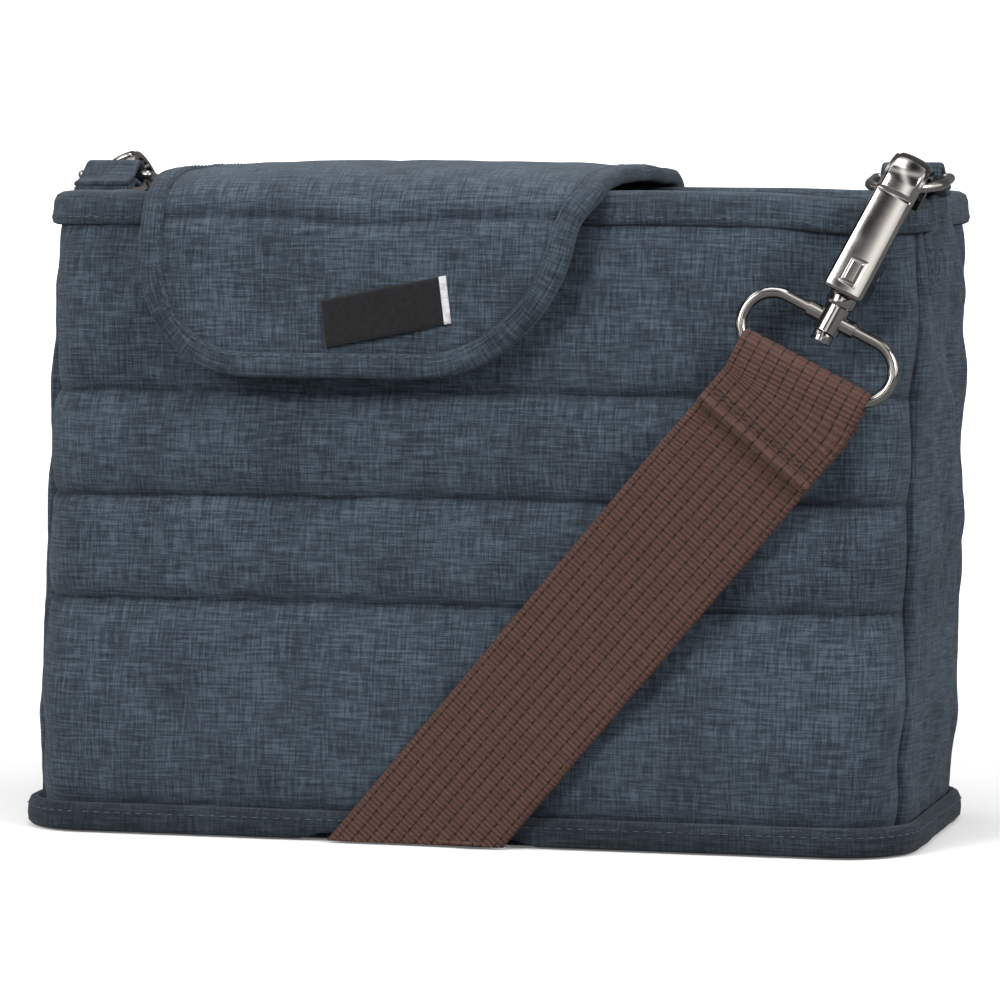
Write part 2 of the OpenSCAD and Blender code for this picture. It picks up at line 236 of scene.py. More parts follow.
def metal(name, color, roughness):
    """Metal with cloudy gloss and fine scratches."""
    mat = Material(name)
    place = mat.place(cloth=False)
    cloud = mat.noise(place, (90, 90, 90), 3)
    scratch = mat.noise(place, (700, 700, 2400), 3)
    vary = mat.math("MULTIPLY", mat.math("SUBTRACT", cloud, 0.4), 0.16)
    mat.link(mat.math("ADD", roughness, vary), mat.shader.inputs["Roughness"])
    dull = tuple(channel * 0.82 for channel in color)
    stops = [(0.3, (*dull, 1)), (0.7, (*color, 1))]
    mat.link(mat.ramp(cloud, stops), mat.shader.inputs["Base Color"])
    mat.set(Metallic=1.0)
    mat.bump(scratch, distance=0.00004, strength=0.2)
    return mat.material


def plain_cloth(name, dark, light, cloth=True, pitch=0.0011):
    """Plain weave with threads a pitch apart."""
    mat = Material(name)
    place = mat.place(cloth)
    grain = mat.noise(place, (400, 400, 400), 4)
    warp = mat.wave(place, (TAU / pitch, 0, 0))
    weft = mat.wave(place, (0, TAU / pitch, TAU / pitch))
    weave = mat.math("MULTIPLY", warp, weft)
    color = mat.ramp(grain, [(0.35, dark), (0.65, light)])
    mat.link(color, mat.shader.inputs["Base Color"])
    mat.bump(mat.math("ADD", weave, grain), distance=0.00015, strength=0.5)
    mat.set(Roughness=0.86, Sheen_Weight=0.15, Specular_IOR_Level=0.2)
    return mat.material


TWILL = twill("twill", srgb(27, 33, 41), srgb(48, 57, 67), srgb(74, 86, 97))
BINDING = twill("twill_binding", srgb(25, 30, 38), srgb(43, 51, 60), srgb(66, 78, 88),
                relief=0.9)
FLANGE = twill("twill_flange", srgb(17, 21, 27), srgb(30, 36, 43), srgb(50, 58, 66),
               relief=0.9)
THREAD = plain_cloth("thread", srgb(46, 56, 68), srgb(78, 90, 104), cloth=False, pitch=0.0004)
BROWN_THREAD = plain_cloth("thread_brown", srgb(20, 13, 13), srgb(36, 25, 24),
                           cloth=False, pitch=0.0004)
WEBBING = webbing("webbing", base=srgb(64, 42, 36), dark=srgb(19, 11, 10),
                  light=srgb(90, 63, 54))
NICKEL = metal("dark_nickel", (0.27, 0.26, 0.25), roughness=0.13)
DULL_NICKEL = metal("dull_nickel", (0.30, 0.29, 0.28), roughness=0.25)
STEEL = metal("plain_steel", (0.55, 0.55, 0.56), roughness=0.3)
LINING = plain_cloth("lining", srgb(120, 124, 128), srgb(140, 144, 148))
WADDING = plain_cloth("wadding", srgb(215, 214, 208), srgb(236, 235, 230),
                      cloth=False, pitch=0.003)
STIFFENER = plain_cloth("stiffener", srgb(70, 70, 72), srgb(86, 86, 88),
                        cloth=False, pitch=0.002)
LABEL = plain_cloth("label", srgb(12, 12, 14), srgb(24, 24, 27), pitch=0.0005)
LABEL_EDGE = plain_cloth("label_edge", srgb(170, 170, 174), srgb(215, 215, 218),
                         cloth=False, pitch=0.0006)

# ------------------------------------------------------------------ shared helpers


def n3(x, y, z=0.0):
    return noise.noise(Vector((x, y, z)))


def ease(value):
    """Smooth step from 0 to 1, flat outside that range."""
    value = np.clip(value, 0, 1)
    return value * value * (3 - 2 * value)


def unit(vector):
    return vector / np.linalg.norm(vector)


def grid(x, y, z):
    """Points from three coordinate arrays, any of which may be a plain number."""
    return np.stack(np.broadcast_arrays(x, y, z), -1)


def run_lengths(points):
    """Distance along a line of points, from 0 at the first."""
    steps = np.linalg.norm(np.diff(points, axis=0), axis=1)
    return np.concatenate([[0], np.cumsum(steps)])


def resample(points, count):
    """count evenly spaced points along the line, and their distances along it."""
    lengths = run_lengths(points)
    stations = np.linspace(0, lengths[-1], count)
    columns = [np.interp(stations, lengths, column) for column in points.T]
    return np.stack(columns, 1), stations


def relax(points, rounds):
    """Smooths the line in place, keeping its ends."""
    for _ in range(rounds):
        points[1:-1] = points[1:-1] * 0.5 + (points[:-2] + points[2:]) * 0.25


def mesh_object(name, verts, faces, cloth, material):
    """Smooth-shaded object; cloth holds texture coordinates, or is None."""
    mesh = bpy.data.meshes.new(name)
    verts = np.asarray(verts) * MM
    mesh.from_pydata([tuple(map(float, vert)) for vert in verts], [],
                     [tuple(map(int, face)) for face in faces])
    mesh.validate()
    if cloth is not None:
        attribute = mesh.attributes.new("cloth", "FLOAT_VECTOR", "POINT")
        values = (np.asarray(cloth) * MM).astype(np.float32)
        attribute.data.foreach_set("vector", values.ravel())
    mesh.materials.append(material)
    mesh.polygons.foreach_set("use_smooth", [True] * len(mesh.polygons))
    bm = bmesh.new()
    bm.from_mesh(mesh)
    bmesh.ops.recalc_face_normals(bm, faces=bm.faces)
    bm.to_mesh(mesh)
    bm.free()
    ob = bpy.data.objects.new(name, mesh)
    bpy.context.scene.collection.objects.link(ob)
    return ob


def sheet(name, points, normals, cloth, thickness, material, closed=False):
    """Closed sheet on a (rows, columns) grid, with its second face thickness behind."""
    rows, columns = points.shape[:2]
    behind = points - np.asarray(normals) * thickness
    verts = np.concatenate([points.reshape(-1, 3), behind.reshape(-1, 3)])
    back = rows * columns
    index = np.arange(back).reshape(rows, columns)
    spans = columns if closed else columns - 1
    faces = []
    for i in range(rows - 1):
        for j in range(spans):
            k = (j + 1) % columns
            quad = (index[i, j], index[i, k], index[i + 1, k], index[i + 1, j])
            faces.append(quad)
            faces.append(tuple(back + corner for corner in reversed(quad)))
    rim = []
    for j in range(spans):
        k = (j + 1) % columns
        rim.append((index[0, k], index[0, j]))
        rim.append((index[-1, j], index[-1, k]))
    if not closed:
        for i in range(rows - 1):
            rim.append((index[i, 0], index[i + 1, 0]))
            rim.append((index[i + 1, -1], index[i, -1]))
    faces += [(start, end, back + end, back + start) for start, end in rim]
    cloth = np.concatenate([cloth.reshape(-1, 3)] * 2)
    return mesh_object(name, verts, faces, cloth, material)


def wall_faces(base, steps, size, closed=False):
    """Quads joining successive rings of size points, numbered from base."""
    faces = []
    for i in range(steps if closed else steps - 1):
        here, there = base + i * size, base + (i + 1) % steps * size
        for j in range(size):
            k = (j + 1) % size
            faces.append((here + j, here + k, there + k, there + j))
    return faces


def tube(name, rings, cloth, material, closed=False):
    """Sweep through rings of points, each a closed profile."""
    rings, cloth = np.array(rings), np.array(cloth)
    steps, size = rings.shape[:2]
    faces = wall_faces(0, steps, size, closed)
    if not closed:
        faces.append(tuple(reversed(range(size))))
        faces.append(tuple((steps - 1) * size + j for j in range(size)))
    return mesh_object(name, rings.reshape(-1, 3), faces, cloth.reshape(-1, 3), material)


# Five sections of one stitch: place along it, share of full width, share of full height.
STITCH = [(0, 0.35, 0.05), (0.25, 0.9, 0.6), (0.5, 1, 1), (0.75, 0.9, 0.6), (1, 0.35, 0.05)]
STITCH_ROOT = 0.25


def stitches(name, paths, material, length, gap, width, height):
    """Thread dashes along each path, a list of (point, normal) pairs."""
    verts, faces = [], []
    for path in paths:
        points, normals = (np.array(part, float) for part in zip(*path))
        lengths = run_lengths(points)
        start = gap / 2
        while start + length < lengths[-1]:
            stations = [start + length * place for place, _, _ in STITCH]
            centres, ups = (
                np.stack([np.interp(stations, lengths, column) for column in part.T], 1)
                for part in (points, normals))
            base = len(verts)
            for i, (_, spread, rise) in enumerate(STITCH):
                tangent = centres[min(i + 1, 4)] - centres[max(i - 1, 0)]
                tangent /= np.linalg.norm(tangent) + 1e-9
                up = ups[i] / (np.linalg.norm(ups[i]) + 1e-9)
                side = np.cross(tangent, up) * width * spread
                root = centres[i] - up * STITCH_ROOT
                crown = centres[i] + up * height * rise
                verts += [root - side / 2, crown - side / 4, crown + side / 4, root + side / 2]
            faces += wall_faces(base, len(STITCH), 4)
            faces.append((base, base + 1, base + 2, base + 3))
            faces.append((base + 19, base + 18, base + 17, base + 16))
            start += length + gap
    return mesh_object(name, verts, faces, None, material)


def add_painted_shade(ob, values):
    """Painted shade in creases, stored for both faces of a sheet."""
    attribute = ob.data.attributes.new("crease", "FLOAT", "POINT")
    both = np.clip(np.concatenate([values, values]), 0, 1)
    attribute.data.foreach_set("value", both.astype(np.float32))


def attach(ob, slot, *nodes, part="root", turned=False):
    if turned:
        ob.data.transform(HALF_TURN)
    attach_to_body(ob, part)
    if nodes:
        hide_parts(*nodes)


# ------------------------------------------------------------------ driving dimensions

HALF_WIDTH, HALF_DEPTH, CORNER = 161.0, 66.0, 24.0  # plan at the base
TAPER_X, TAPER_Y, HEIGHT = 5.0, 6.0, 230.0          # the half sizes shrink this much upwards

# Places round the body run from the front left corner towards +X.
FRONT_RUN = 2 * (HALF_WIDTH - CORNER)
CORNER_RUN = math.pi * CORNER / 2
SIDE_RUN = 2 * (HALF_DEPTH - CORNER)
GIRTH = 2 * (FRONT_RUN + SIDE_RUN) + 4 * CORNER_RUN
HALF_GIRTH = GIRTH / 2
SEAM_OVERRUN = 29.5  # the quilted panels wrap this far round the corners
SEAM_LEFT = -SEAM_OVERRUN
SEAM_RIGHT = FRONT_RUN + SEAM_OVERRUN
PANEL_RUN = SEAM_RIGHT - SEAM_LEFT

QUILT_LINES = [9.0, 84.0, 122.0, 159.5, 221.0]
ROW_SWELL = (7.0, 6.0, 6.2, 6.6)  # padding swell between successive lines

# Right hook. HOOK_UP runs along its axis, HOOK_ACROSS across it, HOOK_IN towards the bag.
HOOK_TILT, HOOK_LEAN = math.radians(27), math.radians(8)
HOOK_TIP = np.array([HALF_WIDTH - TAPER_X + 5.3, -(HALF_DEPTH - TAPER_Y) - 6.7, HEIGHT + 2.6])
HOOK_UP = np.array([math.cos(HOOK_LEAN) * math.sin(HOOK_TILT), math.sin(HOOK_LEAN),
                    math.cos(HOOK_LEAN) * math.cos(HOOK_TILT)])
HOOK_ACROSS = np.array([math.cos(HOOK_TILT), 0, -math.sin(HOOK_TILT)])
HOOK_IN = np.array([-math.sin(HOOK_LEAN) * math.sin(HOOK_TILT), math.cos(HOOK_LEAN),
                    -math.sin(HOOK_LEAN) * math.cos(HOOK_TILT)])
SWIVEL = HOOK_TIP - 51.0 * HOOK_UP + np.array([0, 1.8, 0])

# Front run of the strap, from the base up to the bend below the right hook.
BEND_DROP = 34.0
STRAP_FOOT = np.array([-11.0, -72.6, 0.0])
STRAP_TOP = SWIVEL - BEND_DROP * HOOK_UP
STRAP_LENGTH = np.linalg.norm(STRAP_TOP - STRAP_FOOT)
STRAP_UP = (STRAP_TOP - STRAP_FOOT) / STRAP_LENGTH
STRAP_ACROSS = unit(np.array([STRAP_UP[2], 0, -STRAP_UP[0]]))
STRAP_OUT = np.cross(STRAP_ACROSS, STRAP_UP)

# ------------------------------------------------------------------ bag body


def drift(x, z):
    """The filled bag leans a little towards +X as it rises."""
    rise = np.clip((z - 8) / 222.0, 0, 1)
    rise = rise * (1.35 - 0.35 * rise)
    return rise * (2.6 + 6.6 * ease((x + 20) / 150.0))


def body(place, z):
    """x, y and outward normal x, y of the plain body at a place round it and a height."""
    place = np.mod(np.asarray(place, float), GIRTH)
    z = np.asarray(z, float)
    on_back = place >= HALF_GIRTH
    run = np.where(on_back, place - HALF_GIRTH, place)
    half_x = HALF_WIDTH - TAPER_X * z / HEIGHT
    half_y = HALF_DEPTH - TAPER_Y * z / HEIGHT
    core_x, core_y = half_x - CORNER, half_y - CORNER
    side_start = FRONT_RUN + CORNER_RUN
    side_end = side_start + SIDE_RUN
    first = (run - FRONT_RUN) / CORNER_RUN * math.pi / 2
    second = (run - side_end) / CORNER_RUN * math.pi / 2
    # flat front, first corner, flat end; otherwise the second corner
    zones = [run < FRONT_RUN, run < side_start, run < side_end]
    x = np.select(zones, [-core_x + run / FRONT_RUN * 2 * core_x,
                          core_x + CORNER * np.sin(first), half_x],
                  core_x + CORNER * np.cos(second))
    y = np.select(zones, [-half_y, -core_y - CORNER * np.cos(first),
                          -core_y + (run - side_start) / SIDE_RUN * 2 * core_y],
                  core_y + CORNER * np.sin(second))
    normal_x = np.select(zones, [0.0, np.sin(first), 1.0], np.cos(second))
    normal_y = np.select(zones, [-1.0, -np.cos(first), 0.0], np.sin(second))
    sign = np.where(on_back, -1.0, 1.0)
    x, y = x * sign, y * sign
    return x + drift(x, z), y, normal_x * sign, normal_y * sign


def line_z(i, place):
    """Height of a quilt line; the inner three wander a little."""
    if i in (0, 4):
        return QUILT_LINES[i]
    wander = 1.1 * n3(place * 0.011, i * 7.3) + 0.5 * n3(place * 0.05, i * 3.1)
    return QUILT_LINES[i] + wander


def quilt_bulge(place, z, around):
    """Padded rows between quilt lines, with puckers beside the stitching."""
    edge = min(1.0, min(around, PANEL_RUN - around) / 26.0)
    edge = edge * (2 - edge)
    for i, swell in enumerate(ROW_SWELL):
        low, high = line_z(i, place), line_z(i + 1, place)
        if low <= z <= high:
            share = (z - low) / (high - low)
            shape = (4 * share * (1 - share)) ** (0.50 if i in (1, 2) else 0.52)
            to_line = min(z - low, high - z)
            pucker = (n3(place * 0.17, z * 0.03, i * 5.0) * 0.75
                      + n3(place * 0.42, z * 0.06, 9.0 + i) * 0.35)
            pucker *= math.exp(-to_line / 7.0) * (1 - math.exp(-to_line / 1.6)) * 1.5
            if i == 0 and z - low < high - z:
                pucker *= 0.35
            uneven = (n3(place * 0.022, z * 0.034, 3.0) * 2.0
                      + n3(place * 0.06, z * 0.05, 21.0) * 0.9)
            padding = swell * shape * (0.30 + 0.70 * edge)
            return padding - 1.6 * (1 - edge) - 1.3 + pucker + uneven * shape
    return 0.0


def end_bulge(z, around):
    """Soft creased swell of an end panel, pinched at its seams."""
    share = (around - PANEL_RUN) / (HALF_GIRTH - PANEL_RUN)
    shape = (4 * share * (1 - share)) ** 0.5
    rise = (z - 9) / 212.0
    out = shape * 4.2 * (4 * rise * (1 - rise)) ** 0.5 if 0 < rise < 1 else 0.0
    broad = n3(around * 0.05 + z * 0.020, z * 0.028 - around * 0.02, 40.0)
    fine = n3(around * 0.10 - z * 0.03, z * 0.045, 44.0)
    out += shape * (broad * 4.6 + fine * 2.0)
    pinch = math.exp(-min(around - PANEL_RUN, HALF_GIRTH - around) / 3.0)
    return out - 0.9 * pinch + n3(z * 0.16, 60.0) * pinch * 0.9


def bulge(place, z):
    """How far the skin stands out from the plain body."""
    around = (place - SEAM_LEFT) % HALF_GIRTH
    if around <= PANEL_RUN:
        return quilt_bulge(place, z, around)
    return end_bulge(z, around)


def rim_dz(place):
    """The rim dips at each end and lifts a little in the middle."""
    run = place % HALF_GIRTH
    lift = math.sin(math.pi * min(run / FRONT_RUN, 1.0))
    dip = 2.2 * math.exp(-((run - 285) / 30.0) ** 2)
    return 1.0 * lift - dip + 0.5 * n3(place * 0.03, 77.0)


def pressed(x, y, z):
    """y of the skin, pressed in under the strap slider on the back and behind the
    swivel of the right hook on the front."""
    from_foot = x + STRAP_FOOT[0]
    along = -from_foot * STRAP_UP[0] + z * STRAP_UP[2]
    across = from_foot * STRAP_UP[2] + z * STRAP_UP[0]
    slider = (np.clip((44 - np.abs(across)) / 10, 0, 1) * np.clip((along - 38) / 10, 0, 1)
              * np.clip((182 - along) / 10, 0, 1))
    limit = -STRAP_FOOT[1] - STRAP_UP[1] * along - 5.4
    y = np.where(y > 40, y - ease(slider) * np.maximum(0, y - limit), y)
    collar = ease((24 - np.hypot(x - 137.0, z - 184.0)) / 16)
    return np.where(y < -40, y + 1.3 * collar, y)


def under_hook(x, y, z):
    """1 behind each hook, where the skin lies flat, falling to 0 around it."""
    low_x, low_z, high_x, high_z = 126.0, 166.0, 163.0, 238.0  # hook's line, seen from the front
    line_x, line_dz = high_x - low_x, high_z - low_z
    away_x, away_z = x * np.where(y > 0, -1.0, 1.0) - low_x, z - low_z
    share = np.clip((away_x * line_x + away_z * line_dz) / (line_x ** 2 + line_dz ** 2), 0, 1)
    return ease((32 - np.hypot(away_x - share * line_x, away_z - share * line_dz)) / 18)


SKIN_BOTTOM, SKIN_TOP = 6.0, 221.5


def skin(name, start, end, node, step=1.9, quilted=False):
    """One body panel between two places, with painted shade along its creases and seams."""
    places = np.linspace(start, end, int(round((end - start) / step)) + 1)
    heights = list(np.arange(SKIN_BOTTOM, SKIN_TOP, 1.7)) + [SKIN_TOP]
    for line in QUILT_LINES[1:4]:
        heights += [line - 0.5, line, line + 0.5]
    heights = np.unique(np.round(heights, 2))
    place, z = np.meshgrid(places, heights)
    out = np.vectorize(bulge)(place, z)
    # held in where the base flange covers it
    out = np.where(z < 10, np.minimum(out, -0.6), out)
    x, y, nx, ny = body(place, z)
    flat = under_hook(x, y, z) * np.clip((np.abs(ny) - 0.6) / 0.3, 0, 1)
    out = out * (1 - flat) + np.minimum(out, -0.9) * flat
    x_out = x + nx * out
    z_out = z + np.vectorize(rim_dz)(place) * np.clip((z - 150) / 70, 0, 1)
    points = grid(x_out, pressed(x_out, y + ny * out, z_out), z_out)
    ob = sheet(name, points, grid(nx, ny, 0), grid(place, z, 0), 2.3, TWILL)

    # painted shade: darker along the quilt lines, just above the base flange, under the rim and
    # at the panel seams
    crease = np.zeros(place.shape, np.float32)
    shade_above_flange = 0.5 * np.exp(-np.abs(heights - 11.0) / 2.5)
    if quilted:
        for i in (1, 2, 3):
            line = np.array([line_z(i, at) for at in places])
            crease += 0.85 * np.exp(-(np.abs(heights[:, None] - line) / 1.25) ** 1.3)
        crease += (shade_above_flange + 0.35 * np.exp(-np.abs(heights - 219.0) / 2.0))[:, None]
        crease *= 0.75 + 0.25 * np.array([n3(at * 0.09, 31.0) for at in places])
    for seam in (places[0], places[-1]):
        crease += (0.6 if quilted else 0.7) * np.exp(-np.abs(places - seam) / 1.2)
    if not quilted:
        crease += shade_above_flange[:, None]
    add_painted_shade(ob, crease.ravel())
    attach(ob, "twill", node)


skin("quilted_front", SEAM_LEFT, SEAM_RIGHT, "front_panel", quilted=True)
skin("quilted_back", SEAM_LEFT + HALF_GIRTH, SEAM_RIGHT + HALF_GIRTH, "back_panel",
     step=2.4, quilted=True)
skin("end_right", SEAM_RIGHT, HALF_GIRTH + SEAM_LEFT, "side_panel_right")
skin("end_left", SEAM_RIGHT + HALF_GIRTH, GIRTH + SEAM_LEFT, "side_panel_left")


def on_skin(place, z, lift):
    """Point lift above the skin, and the normal there."""
    out = bulge(place, z) + lift
    x, y, nx, ny = body(place, z)
    dz = rim_dz(place) * min(max((z - 150) / 70, 0), 1)
    return np.array([x + nx * out, y + ny * out, z + dz], float), np.array([nx, ny, 0.0], float)


def quilt_stitches():
    paths = []
    for base in (0.0, HALF_GIRTH):
        for i in (1, 2, 3):
            places = np.arange(SEAM_LEFT + 2 + base, SEAM_RIGHT - 2 + base, 1.2)
            paths.append([on_skin(place, line_z(i, place), 0.25) for place in places])
    ob = stitches("quilt_stitches", paths, THREAD, length=2.4, gap=1.7, width=0.42, height=0.28)
    attach(ob, "twill")


quilt_stitches()

# ------------------------------------------------------------------ rim and base bands

# Closed profiles: out from the body, height.
RIM_PROFILE = [
    (1.0, 218.6), (2.6, 219.3), (3.1, 221.0), (2.6, 224.0), (2.5, 227.0), (1.6, 229.4),
    (-0.6, 230.6), (-3.2, 230.9), (-6.2, 230.5), (-8.6, 229.2), (-9.9, 226.6), (-10.2, 222.6),
    (-10.3, 219.2), (-9.6, 218.4), (-8.6, 218.8), (-8.2, 224), (-5, 227.5), (-2, 226),
    (-0.6, 221.0)]
FLANGE_PROFILE = [
    (-2.0, 0.4), (1.0, 0.0), (3.2, 0.15), (4.3, 1.2), (4.7, 4.0), (4.5, 7.4), (3.6, 9.6),
    (2.0, 10.4), (0.3, 9.9), (-1.0, 7.0)]


def rim_height(place, z):
    return z + rim_dz(place)


def flange_height(place, z):
    """The flange is lifted where the strap passes under it."""
    strap_place = FRONT_RUN / 2 + STRAP_FOOT[0]
    over_strap = (44 - abs(place % HALF_GIRTH - strap_place)) / 8.0
    return max(z, 2.5 * max(0.0, min(1.0, over_strap)))


# Height rule, noise seed and unevenness of each band.
RIM = dict(height=rim_height, seed=3.0, wobble=0.55)
BASE = dict(height=flange_height, seed=11.0, wobble=0.5)


def band_point(place, out, z, height, seed, wobble):
    x, y, nx, ny = body(place, z)
    if out > -3:
        out += (n3(place * 0.05, seed) * wobble
                + n3(place * 0.12, z * 0.2, seed + 4) * wobble * 0.6)
    return (x + nx * out, y + ny * out, height(place, z)), (nx, ny, 0.0)


def band(name, profile, settings, material, node):
    """Closed band round the bag."""
    runs = run_lengths(profile)
    rings, cloth = [], []
    for place in np.linspace(0, GIRTH, int(GIRTH / 2.2), endpoint=False):
        rings.append([band_point(place, out, z, **settings)[0] for out, z in profile])
        cloth.append([(place, run, 10) for run in runs])
    attach(tube(name, rings, cloth, material, closed=True), "binding", node)


def edge_stitches():
    places = np.arange(0, GIRTH + 1, 1.4)
    paths = [[band_point(place, out, z, **settings) for place in places]
             for out, z, settings in ((3.0, 221.6, RIM), (4.55, 7.2, BASE))]
    ob = stitches("edge_stitches", paths, THREAD, length=2.5, gap=1.5, width=0.42, height=0.34)
    attach(ob, "binding")


band("rim_edge", RIM_PROFILE, RIM, BINDING, "rim_binding")
band("base_flange", FLANGE_PROFILE, BASE, FLANGE, "base_binding")
edge_stitches()

# ------------------------------------------------------------------ lining, pocket and base


def rounded_plan(half_x, half_y, radius, columns, rows):
    """x and y grids squeezed from a rectangle into a rounded rectangle."""
    x, y = np.meshgrid(np.linspace(-1, 1, columns), np.linspace(-1, 1, rows))
    x, y = x * half_x, y * half_y
    over_x, over_y = np.abs(x) - (half_x - radius), np.abs(y) - (half_y - radius)
    in_corner = (over_x > 0) & (over_y > 0)
    reach = np.hypot(np.maximum(over_x, 0), np.maximum(over_y, 0))
    pull = np.maximum(over_x, over_y) / np.maximum(reach, 1e-6)
    round_x = np.sign(x) * (half_x - radius + over_x * pull)
    round_y = np.sign(y) * (half_y - radius + over_y * pull)
    return np.where(in_corner, round_x, x), np.where(in_corner, round_y, y)


def lining_wall():
    place, z = np.meshgrid(np.linspace(0, GIRTH, 300, endpoint=False),
                           np.linspace(8.8, 219, 60))
    x, y, nx, ny = body(place, z)
    ripple = np.vectorize(lambda at, up: n3(at * 0.03, up * 0.025, 90.0) * 1.0
                          + n3(at * 0.09, up * 0.03, 95.0) * 0.5)(place, z)
    inset = 9.4 - ripple * 0.6
    ob = sheet("lining", grid(x - nx * inset, y - ny * inset, z), grid(nx, ny, 0),
               grid(place, z, 0), 0.9, LINING, closed=True)
    attach(ob, "lining", "lining_wall")


def lining_floor():
    inset = 11.2
    x, y = rounded_plan(HALF_WIDTH - inset, HALF_DEPTH - inset, 13.0, 61, 61)
    z = 8.6 + np.vectorize(lambda a, b: n3(a * 0.02, b * 0.03, 5.0) * 0.5)(x, y)
    ob = sheet("lining_base", grid(x, y, z), (0, 0, 1), grid(x, y, 0), 1.2, LINING)
    attach(ob, "lining", "lining_floor")


POCKET_HALF, POCKET_BOTTOM, POCKET_TOP = 105, 12, 128
# Closed section of the pocket's hem: y, z.
HEM_PROFILE = [(46.9, 128.4), (46.6, 130), (46.5, 134), (46.9, 136.4),
               (48.2, 137), (49.6, 136.2), (49.9, 132), (49.4, 128.6)]


def pocket():
    """Pocket on the back wall, with its gathered hem."""
    def ripple(x, z):
        rise = z / POCKET_TOP
        return (n3(x * 0.06, z * 0.01, 8.0) * 1.3 * rise
                + n3(x * 0.2, 3.0, 2.0) * 0.7 * rise ** 4)

    x, z = np.meshgrid(np.linspace(-POCKET_HALF, POCKET_HALF, 130),
                       np.linspace(POCKET_BOTTOM, POCKET_TOP, 50))
    y = 47.6 + np.vectorize(ripple)(x, z)
    ob = sheet("pocket_front", grid(x, y, z), (0, -1, 0), grid(x, z, 0), 1.0, LINING)
    attach(ob, "lining", "inner_pocket")

    def hem_y(x, y, z):
        gather = 0.55 * math.sin(x * 0.9) * (1 if y < 48 else -0.4)
        return y + gather + 0.3 * n3(x * 0.1, z)

    stations = np.linspace(-POCKET_HALF, POCKET_HALF, 300)
    rings = [[(x, hem_y(x, y, z), z) for y, z in HEM_PROFILE] for x in stations]
    cloth = [[(x, z, 0) for _, z in HEM_PROFILE] for x in stations]
    attach(tube("pocket_hem", rings, cloth, BINDING), "elastic", "pocket_elastic")


def base_cloth():
    """The underside, with a channel for the strap."""
    inset = 0.4
    x, y = rounded_plan(HALF_WIDTH - inset, HALF_DEPTH - inset, CORNER - inset, 161, 81)
    angle = math.atan2(-STRAP_FOOT[0], -STRAP_FOOT[1])
    from_strap = np.abs(x * math.cos(angle) - y * math.sin(angle))
    z = 0.05 + 2.5 * ease((30.5 - from_strap) / 4.0)
    ob = sheet("base_cloth", grid(x, y, z), (0, 0, -1), grid(x, y, 0), 1.3, TWILL)
    attach(ob, "twill", "base_panel")


lining_wall()
lining_floor()
pocket()
base_cloth()

# ------------------------------------------------------------------ flap
# Flap places are x from its middle and the distance along it from the sewn back edge.

FLAP_HALF, FLAP_MIDDLE, BINDING_WIDTH = 84.0, -28.0, 9.0
OUTLINE_STEP = 1.6

# Side view of the flap, from the back edge over the top and down the front: y, z + 2.
FLAP_SIDE = np.array([
    (68.2, 196), (68.0, 210), (67.6, 222), (65.6, 230.5), (61.0, 235.6), (52, 237.6),
    (36, 238.8), (12, 239.6), (-12, 239.7), (-36, 239.0), (-50, 237.8), (-60, 235.6),
    (-67.2, 231.4), (-71.4, 225.0), (-73.2, 216), (-74.0, 204), (-74.6, 190), (-75.2, 175),
    (-75.8, 160), (-76, 150)], float)
FLAP_SIDE[:, 1] -= 2.0


def cut_corners(points):
    """One round of corner cutting, keeping the end points."""
    start, end = points[:-1], points[1:]
    middle = np.empty((2 * len(start), 2))
    middle[0::2] = start * 0.75 + end * 0.25
    middle[1::2] = start * 0.25 + end * 0.75
    return np.vstack([points[:1], middle, points[-1:]])


for _ in range(3):
    FLAP_SIDE = cut_corners(FLAP_SIDE)
SIDE_Y, SIDE_Z = FLAP_SIDE.T
SIDE_RUNS = run_lengths(FLAP_SIDE)
FLAP_LENGTH = SIDE_RUNS[-1]
FOLD = SIDE_RUNS[np.argmin(np.hypot(SIDE_Y + 68.5, SIDE_Z - 230))]   # the front top fold
MIDDLE = SIDE_RUNS[np.argmin(np.abs(SIDE_Y) + (SIDE_Z < 230) * 1000)]  # on top, at y = 0
TONGUE_END = FOLD + 65


def cross_line(x):
    """Where the crosswise stitching below the fold lies; it sags near the middle."""
    sag = 2.6 * math.exp(-((x - 2) / 26.0) ** 2) + 1.0 * n3(x * 0.03, 7.0)
    return FOLD + 8.0 + sag


def side_at(along):
    return np.array([np.interp(along, SIDE_RUNS, SIDE_Y), np.interp(along, SIDE_RUNS, SIDE_Z)])


def flap_point(x, along):
    """Point and outward normal of the flap's middle surface."""
    along = min(max(along, 0.0), FLAP_LENGTH)
    y, z = side_at(along)
    ty, tz = side_at(min(along + 1.5, FLAP_LENGTH)) - side_at(max(along - 1.5, 0))
    size = math.hypot(ty, tz) + 1e-9
    ny, nz = tz / size, -ty / size
    # point up where the flap is mostly level, else away from the bag
    level = abs(nz) > abs(ny)
    if (level and nz < 0) or (not level and (ny > 0) != (along < MIDDLE)):
        ny, nz = -ny, -nz
    past_fold = along - FOLD
    out = 1.0 - 2.0 * abs(x / FLAP_HALF) ** 4 * min(1.0, max(0.0, (along - 35) / 30))
    out += 0.8 * n3(x * 0.025, along * 0.03, 50.0) + 0.35 * n3(x * 0.08, along * 0.07, 55.0)
    if past_fold > -8:
        # the free tongue: its right part stands off and folds run down it
        free = min(1.0, (past_fold + 8) / 30.0)
        out += free * (1.8 * max(0.0, x / FLAP_HALF) ** 1.5
                       + 0.9 * n3(x * 0.055, along * 0.012, 61.0))
    # the crosswise stitching pulls in, fading towards the bound edges
    fade = min(1.0, max(0.0, (FLAP_HALF - 9 - abs(x)) / 6.0))
    out -= 1.7 * math.exp(-((along - cross_line(x)) / 2.6) ** 2) * fade
    return np.array([FLAP_MIDDLE + x, y + ny * out, z + nz * out]), np.array([0.0, ny, nz])


